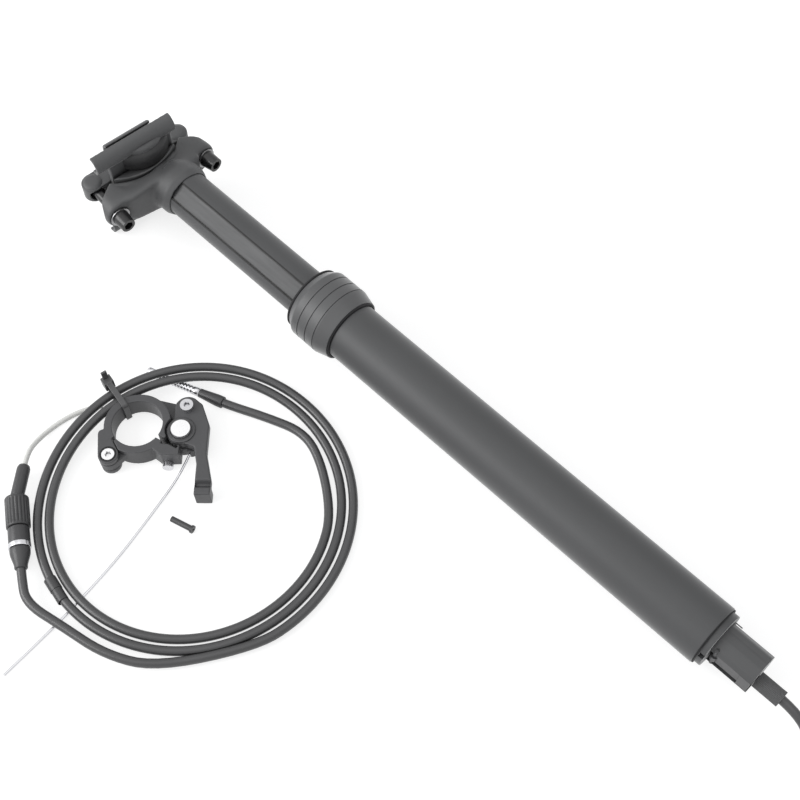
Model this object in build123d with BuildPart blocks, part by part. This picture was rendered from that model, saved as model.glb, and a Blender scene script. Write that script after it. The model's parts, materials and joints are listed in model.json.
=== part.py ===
from build123d import *
from math import asin, atan2, cos, degrees, hypot, pi, radians, sin, sqrt, tan
import os

os.makedirs("parts", exist_ok=True)

# Each post piece is drawn along X: zero at the collar's lower face, the tail at +X, the bike's front at +Y
# and the bike's right-hand side at +Z. The laid-down pose is one move at the end.

# Clearances and overruns
press_gap = 0.05
running_gap = 0.08
free_gap = 0.3
cut_overrun = 1.0
full_turn = 360

# Outer tube
post_diameter = 27.2
tube_radius = post_diameter / 2
tube_wall = 1.2
tube_bore_radius = tube_radius - tube_wall
tube_length = 201.4
tube_socket = 15.0
tube_spigot_step = 0.3
tube_edge_chamfer = 0.5

# Collar, its grooves and seals
collar_radius = 17.0
collar_length = 23.5
collar_top_radius = 14.8
collar_shoulder = 3.4
collar_foot_radius = 15.2
collar_foot_length = 6.5
collar_groove_count = 3
collar_groove_pitch = 4.7
collar_groove_start = 7.0
collar_groove_width = 0.5
collar_groove_depth = 0.35
wiper_depth = 5.0
wiper_wall = 2.2
wiper_flange_radius = 14.2
wiper_flange_height = 0.9
wiper_lip_height = 0.7
wiper_lip_wall = 1.1
foot_ring_section = 1.5

# Stanchion and its keyways
stanchion_radius = 11.0
stanchion_wall = 2.6
stanchion_bore_radius = stanchion_radius - stanchion_wall
stanchion_exposed = 83.0
stanchion_overlap = 95.0
keyway_width = 8.4
keyway_floor_radius = 9.6
keyway_angles = (0, 125, -125)
keyway_runout = 3.0
key_length = 12.0
key_side_gap = 0.15
upper_bushing_length = 20.0
lower_bushing_length = 18.0
lower_bushing_end_gap = 2.0

# Gas spring inside the stanchion
spring_body_radius = 7.8
spring_body_wall = 0.8
spring_top_wall = 8.0
spring_body_end_gap = 7.0
spring_top_gap = 1.5
gland_length = 8.0
snap_ring_section = 1.2
snap_ring_bite = 0.5
snap_ring_opening = 70.0
rod_radius = 3.0
rod_bore_radius = 1.2
rod_top = 20.0
piston_length = 7.0
piston_gap = 0.3
valve_pin_radius = 0.9
valve_pin_length = 60.0
bumper_length = 6.0
bumper_radius = 5.6

# Tail cap
cap_ring_length = 2.7
cap_seam = 0.3
cap_plug_length = 24.0
cap_cavity_depth = 12.5
cap_cavity_radius = 7.6
cap_notch_width = 2.4
cap_notch_depth = 2.2
cap_notch_angles = (159, -21)
rod_nut_flats = 11.0
rod_nut_height = 5.0
rod_tail = 1.0

# Actuator housing, lever and cable barrel
housing_radius = 9.0
housing_length = 19.3
housing_wall = 2.4
housing_floor = 4.0
housing_seam = 0.3
spigot_length = 4.6
housing_facets = 14
housing_facet_bite = 0.12
slot_width = 9.8
slot_floor_depth = 5.2
lever_face = 7.0
lever_thickness = 1.6
lever_low_side = 2.6
lever_high_side = 4.6
lever_foot_length = 5.2
lever_foot_thickness = 2.2
lever_end_gap = 0.3
lever_arm_width = 3.2
lever_arm_reach = 1.2
lever_arm_thickness = 1.8
lever_eye_radius = 1.7
lever_pin_radius = 1.0
lever_pin_inset = 2.6
lever_pin_drop = 2.0
barrel_radius = 3.55
barrel_length = 11.7
barrel_offset = 1.9
barrel_seam = 0.3
barrel_knurls = 36
barrel_knurl_depth = 0.25
barrel_stud_radius = 1.6
barrel_stud_length = 3.4
barrel_wire_radius = 0.7
barrel_mouth_radius = 2.2
barrel_mouth_depth = 3.0
lock_wire_radius = 0.25
lock_wire_ring_radius = 9.6
lock_wire_leg = 3.2
lock_wire_arc = 140
lock_wire_angle = 20.0

# Saddle clamp: rail channels, tilt and setback from the post's axis
rail_radius = 3.5
rail_spacing = 44.0
clamp_tilt = 7.0
clamp_setback = 5.5
head_tilt = 3.5
clamp_rise = 26.2
wing_wall = 1.6
wing_length = 42.4
wing_offset = 2.3
wing_lip = 0.2
rocker_radius = 27.0
rocker_rise = 17.0
rocker_half_width = 10.6
rocker_top = 4.0
cradle_plate_length = 33.0
cradle_plate_top = 0.6
cradle_plate_depth = 3.4
cheek_radius = 12.9
cheek_rise = 5.4
cheek_half_width = 20.8
cheek_reach = 2.5
top_wing_length = 24.0
top_wing_offset = 2.3
top_wing_gap = 1.2
top_wing_wall = 1.7
top_plate_thickness = 2.8
bar_half_width = 4.2
ear_radius = 5.2
nut_reach = 23.5
nut_height = 5.7
nut_radius = 3.4
nut_half_length = 4.0
nut_bolt_gap = 0.3
ear_slot_radius = 3.2

# Saddle bolts and their dished washers
bolt_seat_reach = 25.0
bolt_seat_height = -13.0
bolt_radius = 2.5
bolt_past_nut = 2.2
bolt_head_radius = 4.0
bolt_head_end_radius = 3.4
bolt_head_length = 6.4
hex_flats = 4.0
hex_depth = 3.2
washer_radius = 4.9
washer_thickness = 1.9
washer_dome_radius = 9.0
bolt_hole_radius = 3.1
dish_swing_gap = 1.0
bolt_swings_in_head = (0, -2.0, -4.0)
bolt_swings_in_clamp = (0, -6.0, -12.0)

# Saddle head
neck_radius = 12.8
neck_straight = 6.0
neck_dome = 9.0
neck_dome_radius = 9.0
neck_taper_length = 3.0
neck_taper_radius = 11.5
head_socket_depth = 10.0
trough_half_length = 20.0
ear_top_height = -3.6
ear_top_reach = 23.6
ear_shoulder_reach = 28.4
ear_shoulder_height = -6.2
ear_tip_reach = 31.2
ear_tip_height = -11.0
boss_height = -14.4
boss_inner_reach = 20.6
rear_web_reach = 17.5
rear_web_height = -16.4
front_web_height = -17.0
ear_width_radius = 7.6
head_waist_radius = 10.8
head_plan_top = 3.0
head_plan_bottom = -34.0

# Tail cable: its plain connector, threaded tip and hand-laid route, heights taken above the floor
corner_share = 0.45
cable_radius = 2.0
connector_radius = 2.7
connector_nose_radius = 2.1
connector_length = 12.0
connector_collar = 3.0
tip_radius = 2.0
tip_length = 16.0
tip_thread_pitch = 1.6
tip_thread_depth = 0.35
tip_end_length = 3.0
tail_straight = 11.4
tail_route = (
    (153.6, -5.6, 4.6),
    (164.6, -15.0, 2.1),
    (172.6, -32.0, 2.0),
    (175.2, -53.0, 2.0),
    (170.6, -75.0, 2.3),
    (163.4, -92.6, 2.8),
)

# Kit: where its coil's centre stands, how it is turned, and the coil's turns
kit_x = -96.0
kit_y = -101.0
kit_turn = 43.3
coil_radius = 69.5
coil_pitch = 5.0
coil_lead_angle = 236.0
coil_lead_radius = 72.0
coil_first_angle = 282.0
coil_quarter = 90.0
coil_quarters = 9
coil_lifts = (1.4, 0, 5.4, 1.4)
coil_exit_angle = 80.0
coil_exit_radius = 52.0
coil_exit_heading = 154.5
coil_samples = 24
strand_tip_length = 27.0

# Adjuster on the coil's first end, measured back from the end of its ribbed barrel
adjuster_spot = (-75.4, 2.7)
adjuster_heading = -78.0
adjuster_rise = 5.3
adjuster_radius = 5.15
adjuster_length = 14.6
adjuster_ribs = 20
adjuster_rib_depth = 0.3
band_radius = 4.6
band_length = 7.2
pale_ring_radius = 4.8
pale_ring_length = 2.2
nose_radius = 4.4
nose_tip_radius = 2.8
nose_length = 9.4
boot_radius = 2.9
boot_neck_radius = 2.3
boot_neck_length = 1.6
boot_length = 15.0
boot_heading = -93.5
boot_gap = 0.9
wire_bore_radius = 0.8

# Liner, inner wire and sleeves of the kit; the routes are hand-laid from the coil's centre and the floor
liner_radius = 1.2
liner_straight = 6.0
liner_route = (
    (-72.0, 31.4, 3.0),
    (-67.2, 38.6, 1.3),
    (-60.3, 44.6, 1.25),
    (-52.6, 48.8, 1.25),
    (-45.2, 50.8, 1.25),
)
inner_wire_radius = 0.6
wire_route = (
    (-3.6, 25.3, 2.6),
    (-6.7, 17.2, 1.5),
    (-11.7, 8.0, 0.65),
    (-20.4, -7.2, 0.65),
    (-30.0, -23.2, 0.65),
    (-41.0, -38.6, 0.65),
    (-54.4, -56.0, 0.65),
    (-70.0, -74.0, 0.65),
)
sleeve_angle = 216.0
sleeve_turn = 2
sleeve_radius = 2.65
sleeve_step_radius = 2.45
sleeve_bore_radius = 2.3
sleeve_length = 6.0
end_sleeve_spot = (-8.7, -5.1)
end_sleeve_heading = -28.0
end_sleeve_radius = 1.3
end_sleeve_flange_radius = 1.8
end_sleeve_length = 11.0
end_sleeve_flange = 1.0

# Remote: its spot from the coil's centre, the bar it clamps, and the band's split
remote_spot = (-26.2, 36.1)
bar_radius = 11.1
ring_radius = 14.6
ring_foot = 1.2
ring_height = 10.0
split_angles = (215.0, 330.0)
split_gap = 1.5
hinge_spot = (-11.0, -15.1)
hinge_radius = 4.4
hinge_leaf = 2.7
hinge_link = (-14.4, -5.0)
hinge_screw_radius = 1.6
hinge_head_radius = 2.8
hinge_head_depth = 1.4
lug_outline = ((9.4, -9.6), (19.4, -10.6), (19.4, -15.0), (11.6, -15.4), (8.0, -12.6))
closing_x = 13.8
closing_rise = 2.9
closing_radius = 1.4
closing_head_radius = 2.4
closing_head_length = 2.2
closing_depth = 6.4
pivot_spot = (19.2, -2.6)
pivot_radius = 2.0
pivot_head_radius = 4.2
pivot_head_length = 1.6
hub_radius = 7.35
lever_hub_radius = 6.6
plate_height = 5.0
web_outline = ((-3.0, 13.6), (4.0, 16.0), (16.0, 13.0), (18.0, 4.0), (14.0, -6.0), (11.5, 1.0), (6.0, 12.4))
web_height = 5.0
nub_spot = (23.4, -8.6)
nub_radius = 2.2
lever_gap = 0.3
lever_height = 4.3
lobe_spot = (20.9, 8.9)
lobe_radius = 5.5
arm_outline = (
    (15.8, 11.4),
    (24.0, 13.4),
    (27.4, 10.6),
    (31.2, 0.5),
    (31.2, -13.5),
    (34.2, -26.5),
    (34.2, -29.0),
    (27.2, -29.0),
    (27.2, -19.0),
    (25.4, -10.5),
    (18.0, -8.0),
    (15.2, 1.5),
)
pad_width = 7.0
pad_depth = 4.5
pad_spot = (30.7, -31.25)
pad_foot = 0.5
pinch_bolt_radius = 1.6
pinch_head_radius = 2.9
pinch_head_length = 2.4
pinch_hex_flats = 2.5
pinch_hex_depth = 1.4

# Cable tie round the bundle and the remote's ring
tie_width = 2.6
tie_strap = 0.9
tie_clearance = 0.4
tie_top = 12.4
tie_corner = 2.0
tie_head_depth = 4.2
tie_head_width = 4.6
tie_head_height = 5.4
tie_tail_length = 5.0
tie_tail_thickness = 1.1

# Key places worked out from the sizes above
tube_tail = tube_length
spigot_radius = tube_radius - tube_spigot_step
tube_shoulder = foot_ring_section / 2 + press_gap
stanchion_foot = stanchion_overlap
neck_tip = -collar_length - stanchion_exposed
neck_lip = neck_tip - neck_taper_length
stanchion_top = neck_lip - head_socket_depth
clamp_x = neck_lip - clamp_rise + neck_taper_length
clamp_y = -clamp_setback
wing_radius = rail_radius + wing_wall
tilt_sine = sin(radians(clamp_tilt))
tilt_cosine = cos(radians(clamp_tilt))
trough_radius = rocker_radius + free_gap
key_foot = 0
key_top = key_foot - key_length

# Planes of the clamp: its side view, its plan, and its cross-section along the rails
along_rails = Vector(tilt_sine, tilt_cosine, 0)
clamp_up = Vector(-tilt_cosine, tilt_sine, 0)
clamp_origin = Vector(clamp_x, clamp_y, 0)
clamp_side = Plane(origin=clamp_origin, x_dir=along_rails, z_dir=(0, 0, 1))
clamp_plan = Plane(origin=clamp_origin, x_dir=along_rails, z_dir=clamp_up)
clamp_section = Plane(origin=clamp_origin, x_dir=(0, 0, -1), z_dir=along_rails)

# Planes of the head, which shares the clamp's tilt centre but leans less
tilt_centre = clamp_origin + clamp_up * rocker_rise
along_head = Vector(sin(radians(head_tilt)), cos(radians(head_tilt)), 0)
head_up = Vector(-cos(radians(head_tilt)), sin(radians(head_tilt)), 0)
head_origin = tilt_centre - head_up * rocker_rise
head_side = Plane(origin=head_origin, x_dir=along_head, z_dir=(0, 0, 1))
head_plan = Plane(origin=head_origin, x_dir=along_head, z_dir=head_up)

# The resting pose: the left-hand rail channel and the tube's tail edge both touch the floor
rest_run = tube_tail - clamp_x - (wing_length / 2 - wing_offset) * tilt_sine
rest_drop = rail_spacing / 2 - tube_radius
rest_angle = asin(wing_radius / hypot(rest_run, rest_drop)) + atan2(rest_drop, rest_run)
shaft_mount_x = tube_tail / 2
axis_height = tube_radius * cos(rest_angle) + (tube_tail - shaft_mount_x) * sin(rest_angle)
floor = -axis_height
lay_down = Location((0, 0, 0), (0, degrees(rest_angle), 0)) * Location((-shaft_mount_x, 0, 0))


def save(piece, name, place=lay_down):
    """Labels a finished piece, lays it in its place and writes it."""
    solid = place * piece.part
    solid.label = name
    export_step(solid, f"parts/{name}.step")
    print(f"{name}: {solid.volume:.1f} mm3 in {len(solid.solids())} solid(s)")


def slice_plane(x):
    """A plane across the post at x."""
    return Plane.YZ.offset(x)


def nut_centre(side):
    """The barrel nut's centre; side is 1 at the front and -1 at the rear."""
    return clamp_origin + along_rails * side * nut_reach + clamp_up * nut_height


def bolt_seat(side):
    """The apex of the dished seat in the head's ear."""
    return head_origin + along_head * side * bolt_seat_reach + head_up * bolt_seat_height


def bolt_to_nut(side):
    """The distance from the bolt's seat to its barrel nut."""
    return (nut_centre(side) - bolt_seat(side)).length


def bolt_plane(side):
    """Plane with its origin at the bolt's seat and Z from the seat to the barrel nut."""
    return Plane(origin=bolt_seat(side), x_dir=(0, 0, 1), z_dir=nut_centre(side) - bolt_seat(side))


def swung_bolt_plane(side, pivot, reach, swing):
    """Plane like the bolt's, swung by an angle about a pivot that lies this far ahead of it."""
    way = bolt_plane(side).z_dir.rotate(Axis.Z, swing)
    return Plane(origin=pivot - way * reach, x_dir=(0, 0, 1), z_dir=way)


def bolt_axis(side):
    """The bolt's axis, from its seat towards the barrel nut."""
    return Axis(bolt_plane(side).origin, bolt_plane(side).z_dir)


def bolt_profile_plane(side):
    """Plane through the bolt's axis for turned profiles: X is the radius, Y runs towards the nut."""
    seat = bolt_plane(side)
    return Plane(origin=seat.origin, x_dir=seat.x_dir, z_dir=seat.x_dir.cross(seat.z_dir))


def keyway_plane(angle):
    """Plane through the post's axis whose Y points out through the keyway at this angle from the front."""
    outward = Vector(0, cos(radians(angle)), sin(radians(angle)))
    return Plane(origin=(0, 0, 0), x_dir=(1, 0, 0), z_dir=Vector(1, 0, 0).cross(outward))


# Outer tube: full size from just below the collar to the tail, a little smaller under the collar and its ring
with BuildPart() as outer_tube:
    with BuildSketch(slice_plane(-tube_socket)):
        Circle(spigot_radius)
    extrude(amount=tube_socket + tube_shoulder)
    with BuildSketch(slice_plane(tube_shoulder)):
        Circle(tube_radius)
    extrude(amount=tube_tail - tube_shoulder)
    with BuildSketch(slice_plane(-tube_socket)):
        Circle(tube_bore_radius)
    extrude(amount=tube_socket + tube_tail, mode=Mode.SUBTRACT)
    tail_rim = outer_tube.edges().filter_by(GeomType.CIRCLE).group_by(Axis.X)[-1].sort_by(SortBy.RADIUS)[-1]
    chamfer(tail_rim, tube_edge_chamfer)
save(outer_tube, "outer_tube")

# Collar: shoulder at the top, tapered foot, three fine grooves
collar_bore_radius = spigot_radius + press_gap
with BuildPart() as collar:
    with BuildSketch(Plane.XY):
        with BuildLine():
            Polyline(
                (-collar_length, stanchion_radius + wiper_wall),
                (-collar_length, collar_top_radius),
                (-collar_length + collar_shoulder, collar_radius),
                (-collar_foot_length, collar_radius),
                (0, collar_foot_radius),
                (0, collar_bore_radius),
                (-tube_socket - free_gap, collar_bore_radius),
                (-tube_socket - free_gap, tube_bore_radius),
                (-collar_length + wiper_depth, tube_bore_radius),
                (-collar_length + wiper_depth, stanchion_radius + wiper_wall),
                close=True,
            )
        make_face()
    revolve(axis=Axis.X)
    shoulder_rims = collar.edges().filter_by(GeomType.CIRCLE).sort_by(SortBy.RADIUS)[-2:]
    fillet(shoulder_rims, collar_shoulder / 2)
    with BuildSketch(Plane.XY):
        for groove in range(collar_groove_count):
            groove_x = -collar_groove_start - groove * collar_groove_pitch
            with Locations((groove_x, collar_radius)):
                Rectangle(collar_groove_width, 2 * collar_groove_depth)
    revolve(axis=Axis.X, mode=Mode.SUBTRACT)
    with BuildSketch(Plane.XY):
        with Locations((0, spigot_radius + foot_ring_section / 2)):
            Circle(foot_ring_section / 2 + press_gap)
    revolve(axis=Axis.X, mode=Mode.SUBTRACT)
save(collar, "collar")

# Wiper seal: a ring in the collar's mouth with a flange on its face and a raised lip round the stanchion
with BuildPart() as wiper_seal:
    wiper_bore_radius = stanchion_radius + free_gap
    wiper_outer_radius = stanchion_radius + wiper_wall - press_gap
    flange_foot = -collar_length - press_gap
    flange_top = flange_foot - wiper_flange_height
    lip_top = flange_top - wiper_lip_height
    with BuildSketch(Plane.XY):
        with BuildLine():
            Polyline(
                (lip_top, wiper_bore_radius),
                (lip_top, wiper_bore_radius + wiper_lip_wall),
                (flange_top, wiper_bore_radius + 2 * wiper_lip_wall),
                (flange_top, wiper_flange_radius),
                (flange_foot, wiper_flange_radius),
                (flange_foot, wiper_outer_radius),
                (-collar_length + wiper_depth - press_gap, wiper_outer_radius),
                (-collar_length + wiper_depth - press_gap, wiper_bore_radius),
                close=True,
            )
        make_face()
    revolve(axis=Axis.X)
save(wiper_seal, "wiper_seal")

# O-ring between the collar's foot and the tube
with BuildPart() as collar_o_ring:
    with BuildSketch(Plane.XY):
        with Locations((0, spigot_radius + foot_ring_section / 2)):
            Circle(foot_ring_section / 2)
    revolve(axis=Axis.X)
save(collar_o_ring, "collar_o_ring")

# Stanchion: a tube with three flat-floored keyways that stop just past the keys
with BuildPart() as stanchion:
    with BuildSketch(slice_plane(stanchion_top)):
        Circle(stanchion_radius)
        Circle(stanchion_bore_radius, mode=Mode.SUBTRACT)
    extrude(amount=stanchion_foot - stanchion_top)
    keyway_foot = key_foot + keyway_runout
    keyway_length = keyway_foot - stanchion_top + cut_overrun
    for angle in keyway_angles:
        with BuildSketch(keyway_plane(angle).offset(-keyway_width / 2)):
            with Locations((keyway_foot - keyway_length / 2, keyway_floor_radius + cut_overrun)):
                Rectangle(keyway_length, 2 * cut_overrun)
        extrude(amount=keyway_width, mode=Mode.SUBTRACT)
    snap_groove_x = stanchion_foot - spring_body_end_gap + snap_ring_section / 2 + press_gap
    with BuildSketch(slice_plane(snap_groove_x - snap_ring_section / 2 - press_gap)):
        Circle(stanchion_bore_radius + snap_ring_bite)
        Circle(stanchion_bore_radius - cut_overrun, mode=Mode.SUBTRACT)
    extrude(amount=snap_ring_section + 2 * press_gap, mode=Mode.SUBTRACT)
save(stanchion, "stanchion")

# Upper bushing in the tube's mouth, with a window for each key
bushing_outer_radius = tube_bore_radius - press_gap
with BuildPart() as upper_bushing:
    bushing_top = key_top - (upper_bushing_length - key_length) / 2
    with BuildSketch(slice_plane(bushing_top)):
        Circle(bushing_outer_radius)
        Circle(stanchion_radius + running_gap, mode=Mode.SUBTRACT)
    extrude(amount=upper_bushing_length)
    for angle in keyway_angles:
        with BuildSketch(keyway_plane(angle).offset(-keyway_width / 2)):
            with Locations(((key_top + key_foot) / 2, stanchion_radius)):
                Rectangle(key_length + 2 * press_gap, 2 * stanchion_wall)
        extrude(amount=keyway_width, mode=Mode.SUBTRACT)
save(upper_bushing, "upper_bushing")

# Three keys that stop the stanchion from turning
with BuildPart() as keys:
    for angle in keyway_angles:
        key_width = keyway_width - 2 * key_side_gap
        with BuildSketch(keyway_plane(angle).offset(-key_width / 2)):
            key_floor = keyway_floor_radius + key_side_gap
            key_crown = bushing_outer_radius
            with Locations(((key_top + key_foot) / 2, (key_floor + key_crown) / 2)):
                Rectangle(key_length, key_crown - key_floor)
        extrude(amount=key_width)
    with BuildSketch(slice_plane(key_top)):
        Circle(bushing_outer_radius)
    extrude(amount=key_length, mode=Mode.INTERSECT)
save(keys, "keys")

# Lower bushing on the stanchion's foot
with BuildPart() as lower_bushing:
    with BuildSketch(slice_plane(stanchion_foot - lower_bushing_end_gap - lower_bushing_length)):
        Circle(tube_bore_radius - free_gap)
        Circle(stanchion_radius + press_gap, mode=Mode.SUBTRACT)
    extrude(amount=lower_bushing_length)
save(lower_bushing, "lower_bushing")

# Gas spring: closed body, gland, snap ring, piston, hollow rod and the valve pin inside it
spring_bore_radius = spring_body_radius - spring_body_wall
spring_foot = stanchion_foot - spring_body_end_gap
with BuildPart() as spring_body:
    with BuildSketch(slice_plane(stanchion_top + spring_top_gap)):
        Circle(spring_body_radius)
    extrude(amount=spring_foot - stanchion_top - spring_top_gap)
    with BuildSketch(slice_plane(stanchion_top + spring_top_gap + spring_top_wall)):
        Circle(spring_bore_radius)
    extrude(amount=spring_foot - stanchion_top, mode=Mode.SUBTRACT)
save(spring_body, "spring_body")

with BuildPart() as spring_gland:
    with BuildSketch(slice_plane(spring_foot - gland_length)):
        Circle(spring_bore_radius - press_gap)
        Circle(rod_radius + free_gap, mode=Mode.SUBTRACT)
    extrude(amount=gland_length)
save(spring_gland, "spring_gland")

with BuildPart() as snap_ring:
    ring_outer_radius = stanchion_bore_radius + snap_ring_bite - press_gap
    with BuildSketch(slice_plane(spring_foot + press_gap)):
        Circle(ring_outer_radius)
        Circle(spring_bore_radius, mode=Mode.SUBTRACT)
        with BuildLine():
            half_opening = snap_ring_opening / 2
            opening_reach = 2 * ring_outer_radius
            Polyline(
                (0, 0),
                (opening_reach * cos(radians(half_opening)), opening_reach * sin(radians(half_opening))),
                (opening_reach * cos(radians(half_opening)), -opening_reach * sin(radians(half_opening))),
                close=True,
            )
        make_face(mode=Mode.SUBTRACT)
    extrude(amount=snap_ring_section)
save(snap_ring, "snap_ring")

cap_face = tube_tail + cap_seam + cap_ring_length
cap_floor = cap_face - cap_cavity_depth
rod_foot = cap_floor + rod_nut_height + rod_tail
with BuildPart() as spring_rod:
    with BuildSketch(slice_plane(rod_top)):
        Circle(rod_radius)
    extrude(amount=rod_foot - rod_top)
    with BuildSketch(slice_plane(rod_top + piston_length)):
        Circle(rod_bore_radius)
    extrude(amount=rod_foot - rod_top, mode=Mode.SUBTRACT)
save(spring_rod, "spring_rod")

with BuildPart() as piston:
    with BuildSketch(slice_plane(rod_top)):
        Circle(spring_bore_radius - piston_gap)
        Circle(rod_radius + press_gap, mode=Mode.SUBTRACT)
    extrude(amount=piston_length)
save(piston, "piston")

pivot_x = cap_face + housing_seam + lever_pin_drop
pivot_y = -(housing_radius - lever_pin_inset)
valve_pin_tip = pivot_x - lever_arm_thickness / 2 - press_gap
with BuildPart() as valve_pin:
    with BuildSketch(slice_plane(valve_pin_tip - valve_pin_length)):
        Circle(valve_pin_radius)
    extrude(amount=valve_pin_length)
save(valve_pin, "valve_pin")

# Tail cap: a plug in the tube, a ring below it with notches, and a cavity for the rod's nut
cap_radius = tube_bore_radius - press_gap
with BuildPart() as tail_cap:
    with BuildSketch(slice_plane(tube_tail - cap_plug_length)):
        Circle(cap_radius)
        Circle(rod_radius + press_gap, mode=Mode.SUBTRACT)
    extrude(amount=cap_plug_length + cap_seam + cap_ring_length)
    with BuildSketch(slice_plane(cap_floor)):
        Circle(cap_cavity_radius)
    extrude(amount=cap_cavity_depth, mode=Mode.SUBTRACT)
    with BuildSketch(slice_plane(cap_face - cap_notch_depth)):
        for angle in cap_notch_angles:
            with Locations(Rotation(0, 0, angle) * Location((cap_radius, 0))):
                Rectangle(2 * cap_notch_depth, cap_notch_width)
    extrude(amount=cap_notch_depth, mode=Mode.SUBTRACT)
save(tail_cap, "tail_cap")

with BuildPart() as rod_nut:
    with BuildSketch(slice_plane(cap_floor)):
        RegularPolygon(rod_nut_flats / 2, 6, major_radius=False)
        Circle(rod_radius + press_gap, mode=Mode.SUBTRACT)
    extrude(amount=rod_nut_height)
save(rod_nut, "rod_nut")

with BuildPart() as bumper:
    with BuildSketch(slice_plane(tube_tail - cap_plug_length - bumper_length)):
        Circle(bumper_radius)
        Circle(rod_radius + press_gap, mode=Mode.SUBTRACT)
    extrude(amount=bumper_length)
save(bumper, "bumper")

# Actuator housing: faceted barrel with a spigot in the cap, a rear slot for the lever and a floor
housing_top = cap_face + housing_seam
housing_foot = housing_top + housing_length
housing_bore_radius = housing_radius - housing_wall
with BuildPart() as actuator_housing:
    with BuildSketch(slice_plane(housing_top)):
        Circle(housing_radius)
        facet_radius = housing_radius - housing_facet_bite
        RegularPolygon(facet_radius, housing_facets, major_radius=False, mode=Mode.INTERSECT)
    extrude(amount=housing_length)
    with BuildSketch(slice_plane(housing_top - spigot_length)):
        Circle(cap_cavity_radius - press_gap)
    extrude(amount=spigot_length)
    with BuildSketch(slice_plane(housing_top - spigot_length)):
        Circle(housing_bore_radius)
    extrude(amount=spigot_length + housing_length - housing_floor, mode=Mode.SUBTRACT)
    with BuildSketch(slice_plane(housing_top)):
        slot_reach = housing_radius + cut_overrun
        with Locations((-slot_reach, 0)):
            Rectangle(2 * (slot_reach - housing_radius + slot_floor_depth), slot_width)
    extrude(amount=housing_length, mode=Mode.SUBTRACT)
    with BuildSketch(Plane.XY.offset(-housing_radius)):
        with Locations((pivot_x, pivot_y)):
            Circle(lever_pin_radius + press_gap)
    extrude(amount=2 * housing_radius, mode=Mode.SUBTRACT)
    with BuildSketch(slice_plane(housing_foot - housing_floor)):
        with Locations((-barrel_offset, 0)):
            Circle(barrel_stud_radius + running_gap)
    extrude(amount=housing_floor, mode=Mode.SUBTRACT)
save(actuator_housing, "actuator_housing")

# Lever: a strip down the slot with a wide foot, and a short arm under the valve pin
with BuildPart() as actuator_lever:
    strip_top = pivot_x
    foot_top = housing_foot - lever_foot_length
    with BuildSketch(Plane.XZ.offset(lever_face - lever_thickness)):
        strip_width = lever_low_side + lever_high_side
        strip_length = housing_foot - lever_end_gap - strip_top
        with Locations((strip_top + strip_length / 2, (lever_high_side - lever_low_side) / 2)):
            Rectangle(strip_length, strip_width)
    extrude(amount=lever_thickness)
    with BuildSketch(Plane.XZ.offset(lever_face + lever_thickness / 4 - lever_foot_thickness)):
        foot_length = lever_foot_length - lever_end_gap
        with Locations((foot_top + foot_length / 2, 0)):
            Rectangle(foot_length, 2 * lever_high_side)
    extrude(amount=lever_foot_thickness)
    with BuildSketch(Plane.XY.offset(-lever_arm_width / 2)):
        with Locations((pivot_x, pivot_y)):
            Circle(lever_eye_radius)
        arm_length = lever_arm_reach - pivot_y
        with Locations((pivot_x, pivot_y + arm_length / 2)):
            Rectangle(lever_arm_thickness, arm_length)
    extrude(amount=lever_arm_width)
    with BuildSketch(Plane.XY.offset(-housing_radius)):
        with Locations((pivot_x, pivot_y)):
            Circle(lever_pin_radius + running_gap)
    extrude(amount=2 * housing_radius, mode=Mode.SUBTRACT)
save(actuator_lever, "actuator_lever")

with BuildPart() as lever_pin:
    pin_half_length = sqrt(housing_radius**2 - pivot_y**2) - free_gap
    with BuildSketch(Plane.XY.offset(-pin_half_length)):
        with Locations((pivot_x, pivot_y)):
            Circle(lever_pin_radius)
    extrude(amount=2 * pin_half_length)
save(lever_pin, "lever_pin")

# Lock wire round the housing's root, with one leg standing beside the housing
with BuildPart() as lock_wire:
    wire_x = housing_top
    with BuildSketch(Plane.XY):
        with Locations((wire_x, lock_wire_ring_radius)):
            Circle(lock_wire_radius)
    revolve(axis=Axis.X, revolution_arc=lock_wire_arc)
    leg_y = lock_wire_ring_radius * cos(radians(lock_wire_angle))
    leg_z = lock_wire_ring_radius * sin(radians(lock_wire_angle))
    with BuildSketch(slice_plane(wire_x)):
        with Locations((leg_y, leg_z)):
            Circle(lock_wire_radius)
    extrude(amount=lock_wire_leg)
save(lock_wire, "lock_wire")

# Knurled cable barrel: turns in the housing's floor and takes the cable in its mouth
with BuildPart() as cable_barrel:
    barrel_top = housing_foot + barrel_seam
    with BuildSketch(slice_plane(barrel_top)):
        with Locations((-barrel_offset, 0)):
            Circle(barrel_radius)
            with PolarLocations(barrel_radius, barrel_knurls):
                Circle(barrel_knurl_depth, mode=Mode.SUBTRACT)
    extrude(amount=barrel_length)
    with BuildSketch(slice_plane(barrel_top - barrel_stud_length)):
        with Locations((-barrel_offset, 0)):
            Circle(barrel_stud_radius)
    extrude(amount=barrel_stud_length)
    with BuildSketch(slice_plane(barrel_top - barrel_stud_length)):
        with Locations((-barrel_offset, 0)):
            Circle(barrel_wire_radius)
    extrude(amount=barrel_stud_length + barrel_length, mode=Mode.SUBTRACT)
    with BuildSketch(slice_plane(barrel_top + barrel_length - barrel_mouth_depth)):
        with Locations((-barrel_offset, 0)):
            Circle(barrel_mouth_radius)
    extrude(amount=barrel_mouth_depth, mode=Mode.SUBTRACT)
save(cable_barrel, "cable_barrel")

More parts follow.
